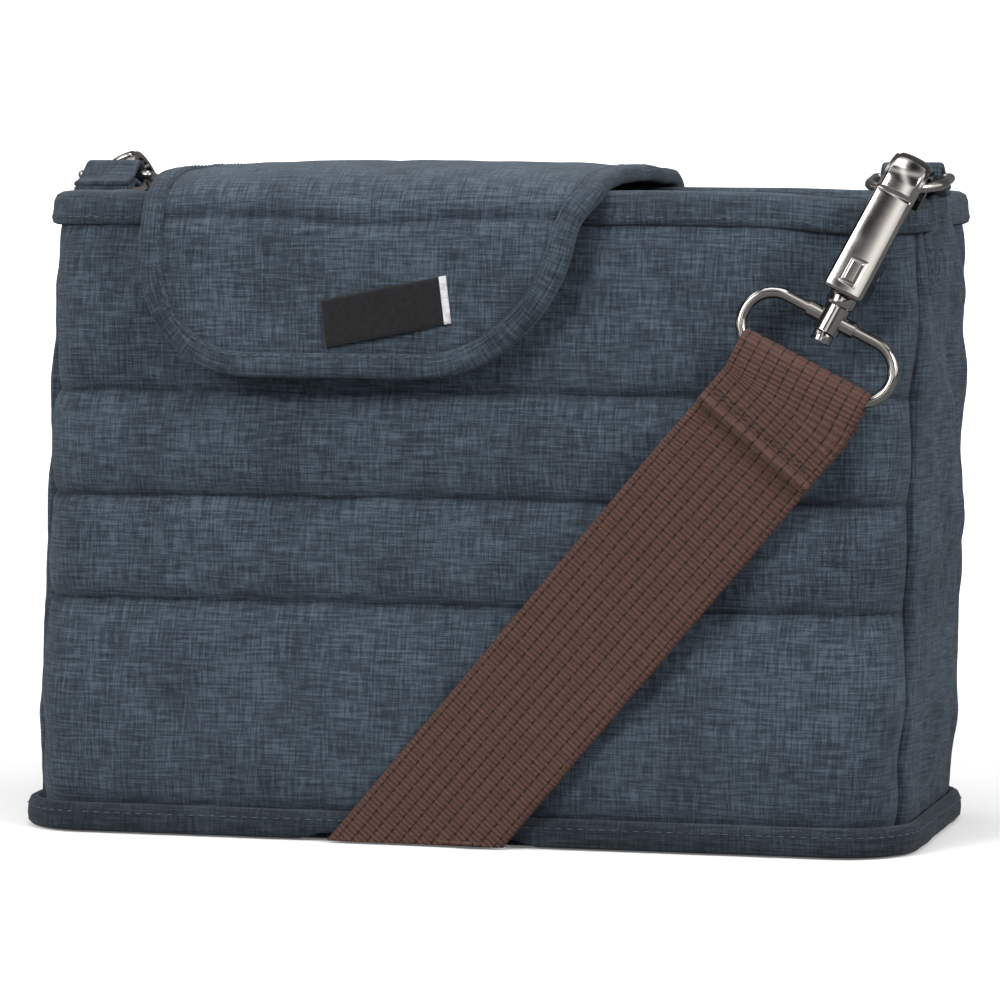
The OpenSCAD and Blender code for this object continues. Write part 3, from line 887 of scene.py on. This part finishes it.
def flap_outline():
    """Open outline (x, along), counter-clockwise from outside, starting at the back left."""
    points = [(-FLAP_HALF, along) for along in np.arange(0, FOLD + 25, 2.0)]
    radius = 40.0  # lower left corner
    for angle in np.radians(np.linspace(180, 270, 22)):
        points.append((-FLAP_HALF + radius + radius * math.cos(angle),
                       FOLD + 25 - radius * math.sin(angle)))
    points += [(x, TONGUE_END) for x in np.arange(-FLAP_HALF + 42, FLAP_HALF - 61, 2.0)]
    for angle in np.radians(np.linspace(90, 0, 30)):  # lower right corner, slightly squared
        points.append((FLAP_HALF - 60 + 52.0 * math.cos(angle) ** 1.12,
                       FOLD + 12 + 53.0 * math.sin(angle) ** 1.12))
    for along in np.arange(FOLD + 10, 0, -2.0):
        points.append((FLAP_HALF - 8 * min(1.0, max(0.0, (along - FOLD) / 12.0)), along))
    points.append((FLAP_HALF, 0.0))
    points = np.array(points)
    points, _ = resample(points, int(run_lengths(points)[-1] / OUTLINE_STEP))
    relax(points, 10)
    return points


OUTLINE = flap_outline()
TANGENT = np.gradient(OUTLINE, axis=0)
TANGENT /= np.linalg.norm(TANGENT, axis=1)[:, None]
INWARD = np.stack([TANGENT[:, 1], -TANGENT[:, 0]], 1)


def inside(x, y, polygon):
    """Which of the points lie inside the polygon, by crossings."""
    result = np.zeros(x.shape, bool)
    for i in range(len(polygon)):
        (xi, yi), (xj, yj) = polygon[i], polygon[i - 1]
        result ^= ((yi > y) != (yj > y)) & (x < (xj - xi) * (y - yi) / (yj - yi + 1e-12) + xi)
    return result


def flap_skin(name, start, end):
    """Padded twill inside the binding, from start to end along the flap."""
    xs = np.arange(-FLAP_HALF, FLAP_HALF + 1.4, 1.4)
    alongs = np.linspace(start, end, int((end - start) / 1.25) + 1)
    x, along = np.meshgrid(xs, alongs)
    keep = inside((x[:-1, :-1] + x[1:, 1:]) / 2, (along[:-1, :-1] + along[1:, 1:]) / 2,
                  OUTLINE + INWARD * 4.6)
    used = np.zeros(x.shape, bool)
    for corner in (used[:-1, :-1], used[1:, :-1], used[:-1, 1:], used[1:, 1:]):
        corner |= keep
    index = -np.ones(x.shape, int)
    index[used] = np.arange(used.sum())
    binding_edge = OUTLINE + INWARD * BINDING_WIDTH
    top, bottom, cloth, crease = [], [], [], []
    for at in zip(x[used], along[used]):
        point, normal = flap_point(*at)
        to_edge = np.sqrt(((binding_edge - at) ** 2).sum(1).min())
        puff = 1.3 * (1 - math.exp(-to_edge / 7.0))
        top.append(point + normal * (1.5 + puff))
        bottom.append(point - normal * (1.6 + puff * 0.5))
        cloth.append((*at, 20))
        from_line = abs(at[1] - cross_line(at[0]))
        # painted shade beside the binding and along the crosswise stitching
        crease.append(0.55 * math.exp(-to_edge / 1.4)
                      + 0.9 * math.exp(-(from_line / 1.5) ** 1.5))
    count = len(top)
    faces, border = [], {}
    for i, j in zip(*np.nonzero(keep)):
        quad = (index[i, j], index[i, j + 1], index[i + 1, j + 1], index[i + 1, j])
        faces.append(quad)
        faces.append(tuple(count + corner for corner in reversed(quad)))
        # an edge met from both sides is not on the border
        for first, second in zip(quad, quad[1:] + quad[:1]):
            if (second, first) in border:
                del border[(second, first)]
            else:
                border[(first, second)] = True
    faces += [(second, first, count + first, count + second) for first, second in border]
    ob = mesh_object(name, top + bottom, faces, cloth + cloth, TWILL)
    add_painted_shade(ob, crease)
    return ob


# Closed section of the flap's binding: inwards from the outline, height above the flap.
FLAP_BINDING = [(-0.1, -1.2), (0.0, 1.2), (1.0, 2.7), (4.0, 3.2), (7.6, 2.9), (8.8, 2.2),
                (8.9, 0.6), (8.6, -1.8), (7.4, -2.4), (4.0, -2.7), (1.0, -2.5)]


def flap_edge(name, start, end):
    """Binding along the parts of the outline between start and end."""
    size = len(FLAP_BINDING)
    profile_runs = run_lengths(FLAP_BINDING)
    ids = np.nonzero((OUTLINE[:, 1] >= start - 1e-6) & (OUTLINE[:, 1] <= end + 1e-6))[0]
    verts, faces, cloth = [], [], []
    for stretch in np.split(ids, np.nonzero(np.diff(ids) > 1)[0] + 1):
        points = OUTLINE[stretch]
        # square the cut ends so that the two halves of the flap meet exactly
        for last in (0, -1):
            if abs(points[last, 1] - MIDDLE) < 2.2:
                points[last, 1] = MIDDLE
        base = len(verts)
        for point, inward, i in zip(points, INWARD[stretch], stretch):
            along_edge = i * OUTLINE_STEP
            wobble = 0.35 * n3(along_edge * 0.08, 33.0)
            for (inset, height), run in zip(FLAP_BINDING, profile_runs):
                centre, normal = flap_point(*(point + inward * inset))
                verts.append(centre + normal * (height + (wobble if height > 0 else 0)))
                cloth.append((along_edge, run, 30))
        faces += wall_faces(base, len(points), size)
        faces.append(tuple(base + j for j in range(size)))
        faces.append(tuple(base + (len(points) - 1) * size + j for j in reversed(range(size))))
    return mesh_object(name, verts, faces, cloth, BINDING)


BACK_HINGE = ("root", "flap_top", (-0.028, 0.066, 0.232), (-0.028, 0.052, 0.238))
FRONT_FOLD = ("flap_top", "flap_tongue", (-0.028, -0.056, 0.2385), (-0.028, -0.0735, 0.221))

for half_name, half_node, half_start, half_end, hinge in (
        ("flap_cover", "flap_top", 0.0, MIDDLE, BACK_HINGE),
        ("flap_front", "flap_tongue", MIDDLE, FOLD + 66, FRONT_FOLD)):
    cover = flap_skin(half_name, half_start, half_end)
    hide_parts(half_node)
    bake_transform(cover)
    edging = flap_edge(half_name + "_edge", half_start, half_end)
    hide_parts(half_node + "_binding")
    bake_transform(edging)


def flap_path(places, lift):
    path = []
    for x, along in places:
        point, normal = flap_point(x, along)
        path.append((point + normal * lift, normal))
    return path


def flap_stitches():
    line = OUTLINE + INWARD * 7.6
    on_cover = line[:, 1] <= MIDDLE
    left = line[:, 0] < 0
    edges = [line[on_cover & left], line[on_cover & ~left]]
    rows = [[(x, along) for x in np.arange(-FLAP_HALF + 4, FLAP_HALF - 4, 2.0)]
            for along in (4.0, 14.0)]
    cover_paths = [flap_path(edge, 3.0) for edge in edges]
    cover_paths += [flap_path(row, 2.7) for row in rows]
    reach = FLAP_HALF - BINDING_WIDTH - 1
    crosswise = [(x, cross_line(x)) for x in np.arange(-reach, reach, 1.5)]
    front_paths = [flap_path(line[~on_cover], 3.0), flap_path(crosswise, 1.95)]
    for name, paths, blend in (("flap_cover_stitches", cover_paths, BACK_HINGE),
                               ("flap_front_stitches", front_paths, FRONT_FOLD)):
        ob = stitches(name, paths, THREAD, length=2.4, gap=1.6, width=0.45, height=0.35)
        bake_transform(ob)


flap_stitches()

LABEL_X, LABEL_ALONG = 8.0, TONGUE_END - 23.5
LABEL_WIDTH, LABEL_HEIGHT, LABEL_TURN = 46, 17, math.radians(11)
LABEL_ROWS, LABEL_COLUMNS, SELVEDGE_COLUMNS = 14, 40, 7


def flap_label():
    """Blank woven label on the tongue, and the pale selvedge at its right end."""
    cos_turn, sin_turn = math.cos(LABEL_TURN), math.sin(LABEL_TURN)
    points = np.zeros((LABEL_ROWS, LABEL_COLUMNS, 3))
    normals, cloth = np.zeros_like(points), np.zeros_like(points)
    for i in range(LABEL_ROWS):
        down = i / (LABEL_ROWS - 1)
        for j in range(LABEL_COLUMNS):
            right = j / (LABEL_COLUMNS - 1)
            across, drop = (right - 0.5) * LABEL_WIDTH, (down - 0.5) * LABEL_HEIGHT
            point, normal = flap_point(
                LABEL_X + across * cos_turn + drop * sin_turn * 0.6,
                LABEL_ALONG - across * sin_turn + drop * cos_turn)
            lift = (3.9 + 1.2 * math.sin(math.pi * right) - 1.1 * down
                    + 0.5 * (1 - abs(2 * right - 1) ** 6))
            points[i, j] = point + normal * lift
            normals[i, j] = normal
            cloth[i, j] = (across, drop, 0)
    ob = sheet("blank_label", points, normals, cloth, 0.9, LABEL)
    attach(ob, "label", "flap_label", part="flap_tongue")

    edge = np.zeros((LABEL_ROWS, SELVEDGE_COLUMNS, 3))
    for i in range(LABEL_ROWS):
        onward = unit(points[i, -1] - points[i, -2])
        ragged = 0.00035 * n3(i * 0.9, 12.0)
        for j in range(SELVEDGE_COLUMNS):
            share = j / (SELVEDGE_COLUMNS - 1)
            lift = 0.25 - 0.3 * max(0.0, share - 0.75)
            edge[i, j] = (points[i, -1] + onward * (0.2 + ragged + (share - 0.75) * 2.4)
                          + normals[i, -1] * lift)
    ob = sheet("label_selvedge", edge, normals[:, -1:], edge, 1.3, LABEL_EDGE)
    attach(ob, "label", part="flap_tongue")


flap_label()

# ------------------------------------------------------------------ strap

WEB_STEP = 0.57
RIB_PITCH, GROOVE_PITCH = 1.7, 4.5


def web_profile(width, thickness):
    """Closed cross-section (across, out): rounded edges and evenly pitched grooves."""
    count = 46
    top, bottom = [], []
    for i in range(count + 1):
        across = -width / 2 + width * i / count
        edge = 1 - max(0, (abs(across) - (width / 2 - 1.2)) / 1.2) ** 2 * 0.75
        groove = 0.0
        if abs(across) < width / 2 - 2:
            half_pitch = GROOVE_PITCH / 2
            from_groove = abs((across + half_pitch) % GROOVE_PITCH - half_pitch)
            groove = 0.32 * max(0.0, 1 - from_groove / 0.7)
        top.append((across, thickness / 2 * edge - groove))
        bottom.append((across, -thickness / 2 * edge + groove))
    return top + bottom[::-1]


def sweep_web(name, frames, width, thickness, rib=0.065):
    """Webbing through frames of (centre, across, out, distance along)."""
    profile = web_profile(width, thickness)
    rings, cloth = [], []
    for centre, across, out, along in frames:
        ripple = rib * math.sin(TAU * along / RIB_PITCH)
        row = []
        for side, height in profile:
            share = 1 if abs(side) < width / 2 - 1.0 else 0.4
            height += (ripple if height > 0 else -ripple) * share
            row.append(centre + across * side + out * height)
        rings.append(row)
        cloth.append([(side, along, 0.0) for side, _ in profile])
    return tube(name, rings, cloth, WEBBING)


def front_run_frames():
    """From below the base up to the hook, turning to the hook's slant near the top."""
    frames = []
    for along in np.arange(-26.0, STRAP_LENGTH + 6, WEB_STEP):
        turn = ease((along - (STRAP_LENGTH - 55)) / 60.0)
        across = unit(STRAP_ACROSS * (1 - turn) + HOOK_ACROSS * turn)
        out = STRAP_OUT * (1 - turn) - HOOK_IN * turn
        out = unit(out - across * out.dot(across))
        # a slight belly and a lazy twist, as webbing lies over a padded face
        belly = 1.2 * math.sin(math.pi * min(max(along / STRAP_LENGTH, 0), 1))
        centre = STRAP_FOOT + STRAP_UP * along + out * belly
        twist = 0.05 * math.sin(TAU * along / STRAP_LENGTH * 0.8 + 0.6)
        frames.append((centre, across * math.cos(twist) + out * math.sin(twist),
                       out * math.cos(twist) - across * math.sin(twist), along))
    return frames


def cut_below(ob, z):
    """Removes what lies under a height in metres and closes the cut."""
    bm = bmesh.new()
    bm.from_mesh(ob.data)
    everything = list(bm.verts) + list(bm.edges) + list(bm.faces)
    cut = bmesh.ops.bisect_plane(bm, geom=everything, dist=1e-7, plane_co=(0, 0, z),
                                 plane_no=(0, 0, -1), clear_outer=True)
    edges = [item for item in cut["geom_cut"] if isinstance(item, bmesh.types.BMEdge)]
    bmesh.ops.holes_fill(bm, edges=edges, sides=0)
    bm.to_mesh(ob.data)
    bm.free()


def long_strap():
    """Front run, the run under the base, and the front run turned to the back."""
    front = sweep_web("strap_long", front_run_frames(), 50.0, 2.0)
    cut_below(front, 0.3 * MM)
    length = np.linalg.norm(2 * STRAP_FOOT)
    to_back = -2 * STRAP_FOOT / length
    across = np.array([to_back[1], -to_back[0], 0.0])
    start = STRAP_FOOT + np.array([0, 0, 1.25])
    frames = [(start + to_back * along, across, np.array([0, 0, -1.0]), along)
              for along in np.arange(0, length, WEB_STEP)]
    under = sweep_web("strap_under", frames, 50.0, 1.6, rib=0.08)
    back = front.copy()
    back.data = front.data.copy()
    bpy.context.scene.collection.objects.link(back)
    back.data.transform(HALF_TURN)
    bpy.context.view_layer.update()
    for ob in bpy.context.selected_objects:
        ob.select_set(False)
    runs = [front, under, back]
    for ob in runs:
        ob.select_set(True)
    bpy.context.view_layer.objects.active = front
    with bpy.context.temp_override(active_object=front, selected_editable_objects=runs,
                                   selected_objects=runs):
        bpy.ops.object.join()
    attach(front, "webbing", "strap_webbing")


# The strap's end is drawn by height along the hook's axis from the swivel (negative is
# below it) and distance in front of that axis. Lower down it bends to the long run.


def end_bend(height):
    return ease((-height - 29.0) / 10.0)


def end_middle(height):
    bend = end_bend(height)
    on_strap = STRAP_TOP + STRAP_UP * (height + BEND_DROP)
    return (SWIVEL + HOOK_UP * height) * (1 - bend) + on_strap * bend


def end_front(height):
    bend = end_bend(height)
    return unit(-HOOK_IN * (1 - bend) + STRAP_OUT * bend)


def end_across(height):
    bend = end_bend(height)
    return unit(HOOK_ACROSS * (1 - bend) + STRAP_ACROSS * bend)


def strap_end_path():
    """(in front, height): up behind, round the loop bar, down in front, folded under."""
    bar_radius, bar_height = 3.25, -20.2
    path = [(-2.75 + max(0, -height - 34) * 0.05, height)
            for height in np.arange(-41, -22, WEB_STEP)]
    for angle in np.radians(np.linspace(180, 0, 24)):
        path.append((bar_radius * math.cos(angle), bar_height + bar_radius * math.sin(angle)))
    for height in np.arange(-22, -49, -WEB_STEP):
        settle = ease((-height - 24) / 10.0)
        path.append((bar_radius * (1 - settle) + 2.15 * settle, height))
    for angle in np.linspace(0, 180, 14):
        path.append((2.7 + 0.75 * math.sin(math.radians(angle)), -49 - angle / 180 * 3.2))
    return np.array(path)


def strap_end(side, turned):
    path = strap_end_path()
    path, stations = resample(path, int(run_lengths(path)[-1] / WEB_STEP))
    slopes = np.stack([np.gradient(path[:, 0]), np.gradient(path[:, 1])], 1)
    frames = []
    for (fore, height), (slope_fore, slope_up), along in zip(path, slopes, stations):
        size = math.hypot(slope_fore, slope_up) + 1e-9
        normal_fore, normal_up = -slope_up / size, slope_fore / size
        # always face away from the loop bar
        below = height < -21
        if (below and fore > 0 and normal_fore < 0 or height > -20 and normal_up < 0
                or below and fore < 0 and normal_fore > 0):
            normal_fore, normal_up = -normal_fore, -normal_up
        across, bend = end_across(height), end_bend(height)
        up = HOOK_UP * (1 - bend) + STRAP_UP * bend
        out = end_front(height) * normal_fore + up * normal_up
        out = unit(out - across * out.dot(across))
        centre = end_middle(height) + end_front(height) * fore
        frames.append((centre, across, out, float(along)))
    name = "strap_fold_" + side
    attach(sweep_web(name, frames, 49.6, 1.7), "webbing", "strap_end_" + side, turned=turned)
    paths = []
    for height in (-44.4, -46.2):
        front = end_front(height)
        paths.append([(end_middle(height) + end_across(height) * across + front * 3.15, front)
                      for across in np.arange(-23, 23.1, 1.0)])
    ob = stitches(name + "_stitches", paths, BROWN_THREAD,
                  length=2.2, gap=1.2, width=0.6, height=0.4)
    attach(ob, "webbing", turned=turned)


long_strap()
for side_name, is_turned in SIDES:
    strap_end(side_name, is_turned)

# ------------------------------------------------------------------ ring tabs

RING_SLOPE = math.radians(8)
RING_BAR = HOOK_TIP + 24 * np.array([0, math.cos(RING_SLOPE), math.sin(RING_SLOPE)])
TAB_HALF = 10.6
TAB_STATIONS = 60
PATCH_PLACE = FRONT_RUN + CORNER_RUN + 8.0


def tab_profile():
    """Closed section of the strip (across, height)."""
    half = TAB_HALF
    flat = np.linspace(-half + 1.5, half - 1.5, 9)
    return ([(-half, -0.5), (-half, 0.5), (-half + 0.6, 0.95)] + [(x, 1.05) for x in flat]
            + [(half - 0.6, 0.95), (half, 0.5), (half, -0.5), (half - 0.6, -0.95)]
            + [(x, -1.0) for x in flat[::-1]] + [(-half + 0.6, -0.95)])


def tab_loop(name):
    """The strip rolled round the ring's bar."""
    _, bar_y, bar_z = RING_BAR
    # y and z from the bar: in from behind, round it, and back out below
    path = [(17, -3.3), (11, -1.9), (6.5, 0.9)]
    path += [(4.2 * math.cos(angle), 0.5 + 4.2 * math.sin(angle))
             for angle in np.radians(np.linspace(55, 300, 30))]
    path += [(5, -1.9), (9, -3.9), (13, -4.9), (17, -5.2)]
    points, stations = resample(np.array(path) + (bar_y, bar_z), TAB_STATIONS)
    relax(points, 2)
    profile = tab_profile()
    rings, cloth = [], []
    for (y, z), (dy, dz), along in zip(points, np.gradient(points, axis=0), stations):
        size = math.hypot(dy, dz) + 1e-9
        ny, nz = dz / size, -dy / size
        rings.append([(RING_BAR[0] + x, y + ny * height, z + nz * height)
                      for x, height in profile])
        cloth.append([(x, along, 50) for x, _ in profile])
    return tube(name, rings, cloth, BINDING)


def tab_patch(name):
    """The patch down the outside of the end panel."""
    points = []
    for z in np.linspace(196, 231, 26):
        row = []
        for place in np.linspace(PATCH_PLACE - 10, PATCH_PLACE + 10, 14):
            point, normal = on_skin(place, min(z, 219.0), 1.2 if z < 218 else 4.0)
            point[2] = z + rim_dz(place)
            row.append(point - normal * (abs(place - PATCH_PLACE) / 10.0) ** 6)
        points.append(row)
    points = np.array(points)
    cloth = grid(points[..., 1], points[..., 2], 0)
    return sheet(name, points, (1, 0, 0), cloth, 1.6, BINDING)


def ring_tab(side, turned):
    name = "ring_loop_" + side
    loop = tab_loop(name)
    patch = tab_patch(name + "_patch")
    low, high = PATCH_PLACE - 8, PATCH_PLACE + 8
    heights = np.arange(199, 217, 1.5)
    lines = [[(low, z) for z in heights],
             [(place, 199) for place in np.arange(low, high, 1.5)],
             [(high, z) for z in heights]]
    paths = [[on_skin(place, z, 1.4) for place, z in line] for line in lines]
    seam = stitches(name + "_stitches", paths, THREAD,
                    length=2.2, gap=1.3, width=0.45, height=0.35)
    attach(loop, "twill", "ring_tab_" + side, turned=turned)
    attach(patch, "twill", turned=turned)
    attach(seam, "twill", turned=turned)


for side_name, is_turned in SIDES:
    ring_tab(side_name, is_turned)

# ------------------------------------------------------------------ hook faces

PLATE_ROWS, PLATE_COLUMNS = 190, 46
PLATE_STRAIGHT = 42.6              # flat length, before the plate curls over the eye
EYE_RADIUS, EYE_IN, EYE_UP = 9.3, 0.5, 52.0
PLATE_LENGTH = PLATE_STRAIGHT + math.radians(112) * EYE_RADIUS
# Closed sections turned about the hook's axis: radius, height above the swivel.
STUD_HEAD = [(2.3, -8.9), (3.5, -8.9), (3.75, -8.5), (3.75, -5.6),
             (3.5, -5.15), (2.6, -5.05), (2.5, -4.9), (2.15, -4.9)]
SWIVEL_COLLAR = [(2.15, 4.95), (4.6, 4.95), (5.1, 5.4), (5.3, 6.2),
                 (5.3, 9.2), (5.0, 9.9), (4.4, 10.3), (2.15, 10.4)]


def hook_plate(name):
    """Crowned, bevelled plate with a cap over the eye and an inset window low down."""
    along = np.arange(PLATE_ROWS)[:, None] * PLATE_LENGTH / (PLATE_ROWS - 1)
    left = PLATE_LENGTH - along
    angle = math.pi - np.maximum(along - PLATE_STRAIGHT, 0) / EYE_RADIUS
    inward, up = np.cos(angle), np.sin(angle)
    place_in = EYE_IN + EYE_RADIUS * inward
    place_up = EYE_UP + EYE_RADIUS * up + np.minimum(along - PLATE_STRAIGHT, 0)

    def end_round(distance, reach):
        near = np.minimum(1.0, distance / reach)
        return np.sqrt(np.maximum(0.0, 1 - (1 - near) ** 2))

    cap = ease((along - 38.4) / 1.2)
    half = 7.25 - 0.5 * along / PLATE_LENGTH - 0.75 * cap
    half = half * (0.90 + 0.10 * end_round(along, 2.2)) * (0.82 + 0.18 * end_round(left, 3.0))
    # columns gather towards the bevelled edges
    share = 2 * np.arange(PLATE_COLUMNS) / (PLATE_COLUMNS - 1) - 1
    share = np.copysign(1 - (1 - np.abs(share)) ** 1.25, share)
    across = share * half

    def bevel(distance, reach):
        return np.maximum(0.0, 1 - distance / reach) ** 1.5

    def window(half_width, low, high):
        return (ease((half_width - np.abs(across)) / 0.35) * ease((along - low) / 0.35)
                * ease((high - along) / 0.35))

    height = 0.55 + 0.75 * (1 - (across / half) ** 2) - 0.55 * bevel(half - np.abs(across), 0.9)
    height -= 0.5 * bevel(along, 1.0) + 0.5 * bevel(left, 1.0)
    height += 0.34 * cap - 0.25 * np.exp(-((along - 38.2) / 0.5) ** 2)
    # the window and the raised tongue inside it
    height += -0.70 * window(3.2, 3.4, 13.2) + 0.50 * window(2.3, 4.4, 12.2)
    normals = HOOK_IN * inward[..., None] + HOOK_UP * up[..., None]
    points = (SWIVEL + HOOK_ACROSS * across[..., None] + HOOK_IN * place_in[..., None]
              + HOOK_UP * place_up[..., None] + normals * height[..., None])
    cloth = grid(np.arange(PLATE_COLUMNS)[None] * 0.3, np.arange(PLATE_ROWS)[:, None] * 0.3, 0)
    return sheet(name, points, normals, cloth, 1.25, NICKEL)


def turned_part(name, profile):
    """Profile turned about the hook's axis, with slightly rounded edges."""
    count = 48
    rings = []
    for i in range(count):
        angle = TAU * i / count
        outward = HOOK_ACROSS * math.cos(angle) + HOOK_IN * math.sin(angle)
        rings.append([SWIVEL + outward * radius + HOOK_UP * height
                      for radius, height in profile])
    ob = tube(name, rings, np.zeros((count, len(profile), 3)), NICKEL, closed=True)
    bevel = ob.modifiers.new("round", "BEVEL")
    bevel.width = 0.2 * MM
    bevel.segments = 2
    bevel.limit_method = "ANGLE"
    depsgraph = bpy.context.evaluated_depsgraph_get()
    mesh = bpy.data.meshes.new_from_object(ob.evaluated_get(depsgraph))
    ob.modifiers.clear()
    ob.data = mesh
    return ob


for side_name, is_turned in SIDES:
    hook_part = "hook_" + side_name
    attach(hook_plate("hook_front_" + side_name), "nickel", part=hook_part, turned=is_turned)
    for part_name, part_profile in (("stud_head_", STUD_HEAD),
                                    ("swivel_collar_", SWIVEL_COLLAR)):
        attach(turned_part(part_name + side_name, part_profile), "nickel",
               part=hook_part, turned=is_turned)

# ------------------------------------------------------------------ carried-over CAD pieces


def paint(node, material, bevel=0.0):
    """One material and, if bevel is given, softened edges of that width."""
    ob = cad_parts[node]
    ob.data.materials.clear()
    ob.data.materials.append(material)
    for polygon in ob.data.polygons:
        polygon.material_index = 0
    if bevel:
        modifier = ob.modifiers.new("soft_edges", "BEVEL")
        modifier.width = bevel * MM
        modifier.segments = 3
        modifier.limit_method = "ANGLE"
        modifier.angle_limit = math.radians(35)
        modifier.harden_normals = True


for side_name, _ in SIDES:
    paint("hook_body_" + side_name, NICKEL, bevel=0.7)
    paint("hook_gate_" + side_name, NICKEL, bevel=0.4)
    paint("gate_pin_" + side_name, STEEL, bevel=0.2)
    paint("gate_spring_" + side_name, STEEL)
    paint("strap_loop_" + side_name, NICKEL, bevel=0.5)
    paint("d_ring_" + side_name, DULL_NICKEL)
paint("strap_slider", NICKEL, bevel=0.7)
paint("front_padding", WADDING)
paint("back_padding", WADDING)
paint("base_board", STIFFENER, bevel=0.4)
paint("front_magnet", STEEL, bevel=0.3)
paint("flap_magnet", STEEL, bevel=0.3)

# ------------------------------------------------------------------ stage, light, camera
# Lengths from here on are in metres.

scene = bpy.context.scene


def floor_material():
    """Pale to the camera and brighter further out; duller to every other ray."""
    material = bpy.data.materials.new("floor")
    material.use_nodes = True
    nodes = NodeTree(material.node_tree)
    shader = nodes.tree.nodes["Principled BSDF"]
    for name, value in (("Base Color", (0.80, 0.80, 0.80, 1)),
                        ("Roughness", 0.8),
                        ("Specular IOR Level", 0.1),
                        ("Emission Color", (1, 1, 1, 1)),
                        ("Emission Strength", 0.16)):  # applies only if the range is unlinked
        shader.inputs[name].default_value = value
    geometry = nodes.add("ShaderNodeNewGeometry")
    distance = nodes.add("ShaderNodeVectorMath", operation="LENGTH")
    glow = nodes.add("ShaderNodeMapRange")
    for name, value in (("From Min", 0.25), ("From Max", 0.9),
                        ("To Min", 0.12), ("To Max", 0.75)):
        glow.inputs[name].default_value = value
    nodes.link(geometry.outputs["Position"], distance.inputs[0])
    nodes.link(distance.outputs["Value"], glow.inputs["Value"])
    nodes.link(glow.outputs[0], shader.inputs["Emission Strength"])
    diffuse = nodes.add("ShaderNodeBsdfDiffuse")
    diffuse.inputs[0].default_value = (0.24, 0.24, 0.24, 1)
    rays = nodes.add("ShaderNodeLightPath")
    mixed = nodes.mix_shader(rays.outputs["Is Camera Ray"], diffuse.outputs[0],
                             shader.outputs[0])
    nodes.link(mixed, nodes.tree.nodes["Material Output"].inputs[0])
    return material


def build_floor():
    """Floor sweeping up into a wall behind the bag."""
    material = floor_material()
    bend, half_width, drop = 1.2, 6, 0.0006
    profile = [(-4.0, 0.0), (bend, 0.0)]  # y, z
    for angle in range(6, 91, 6):
        profile.append((bend + bend * math.sin(math.radians(angle)),
                        bend - bend * math.cos(math.radians(angle))))
    profile.append((2 * bend, 5.0))
    verts = [(x, y, z - drop) for y, z in profile for x in (-half_width, half_width)]
    faces = [(2 * i, 2 * i + 1, 2 * i + 3, 2 * i + 2) for i in range(len(profile) - 1)]
    mesh = bpy.data.meshes.new("floor")
    mesh.from_pydata(verts, [], faces)
    mesh.polygons.foreach_set("use_smooth", [True] * len(mesh.polygons))
    mesh.materials.append(material)
    floor = bpy.data.objects.new("floor", mesh)
    scene.collection.objects.link(floor)


def build_world():
    """Even light, a white backdrop, and striped soft boxes for shiny metal to reflect."""
    world = bpy.data.worlds.new("studio")
    scene.world = world
    world.use_nodes = True
    nodes = NodeTree(world.node_tree)
    nodes.tree.nodes.clear()
    output = nodes.add("ShaderNodeOutputWorld")

    def background(color, strength=None):
        node = nodes.add("ShaderNodeBackground")
        node.inputs[0].default_value = color
        if strength is not None:
            node.inputs[1].default_value = strength
        return node

    def stripes(direction, frequency, sharpness):
        phase = nodes.math("ADD", nodes.math("MULTIPLY", direction, frequency), 0.9)
        wave = nodes.math("ABSOLUTE", nodes.math("SINE", phase))
        return nodes.math("POWER", wave, sharpness)

    ambient = background((1, 1, 1, 1), strength=0.60)
    backdrop = background((1, 1, 1, 1), strength=1.15)
    direction = nodes.add("ShaderNodeTexCoord").outputs["Generated"]
    axes = nodes.add("ShaderNodeSeparateXYZ")
    nodes.link(direction, axes.inputs[0])
    upright = stripes(axes.outputs[0], frequency=4.2, sharpness=16.0)
    level = stripes(axes.outputs[2], frequency=5.0, sharpness=14.0)
    boxes = nodes.math("ADD", nodes.math("MULTIPLY", upright, 2.6),
                       nodes.math("MULTIPLY", level, 1.6))
    reflected_strength = nodes.math("ADD", boxes, 0.035)
    reflected = background((1, 0.985, 0.96, 1))
    nodes.link(reflected_strength, reflected.inputs[1])
    rays = nodes.add("ShaderNodeLightPath")
    lighting = nodes.mix_shader(rays.outputs["Is Glossy Ray"], ambient.outputs[0],
                                reflected.outputs[0])
    seen = nodes.mix_shader(rays.outputs["Is Camera Ray"], lighting, backdrop.outputs[0])
    nodes.link(seen, output.inputs[0])


def area_light(name, location, target, size, power):
    light = bpy.data.lights.new(name, "AREA")
    light.shape = "RECTANGLE"
    light.size = size
    light.size_y = size
    light.energy = power
    ob = bpy.data.objects.new(name, light)
    ob.location = location
    ob.rotation_mode = "QUATERNION"
    aim = Vector(target) - Vector(location)
    ob.rotation_quaternion = aim.to_track_quat("-Z", "Y")
    scene.collection.objects.link(ob)


def build_camera():
    """Long lens from the front, a little to the right and above."""
    azimuth, elevation, distance = math.radians(14.6), math.radians(4.2), 1.812
    target = Vector((0.0015, 0.0, 0.1176))
    camera = bpy.data.cameras.new("camera")
    camera.lens = 178
    camera.sensor_width = 36
    ob = bpy.data.objects.new("camera", camera)
    back = Vector((math.sin(azimuth) * math.cos(elevation),
                   -math.cos(azimuth) * math.cos(elevation), math.sin(elevation)))
    ob.location = target + back * distance
    ob.rotation_mode = "QUATERNION"
    ob.rotation_quaternion = (-back).to_track_quat("-Z", "Y")
    scene.collection.objects.link(ob)
    scene.camera = ob


build_floor()
build_world()
area_light("key_left", (-1.0, -1.9, 1.15), target=(0, 0, 0.14), size=0.9, power=44)
area_light("fill_right", (1.5, -0.8, 0.9), target=(0.1, 0, 0.12), size=0.7, power=24)
area_light("top", (0.0, -0.15, 1.7), target=(0, 0, 0.1), size=1.0, power=14)
build_camera()
scene.view_settings.view_transform = "Standard"
scene.view_settings.look = "None"
scene.view_settings.exposure = 0.0
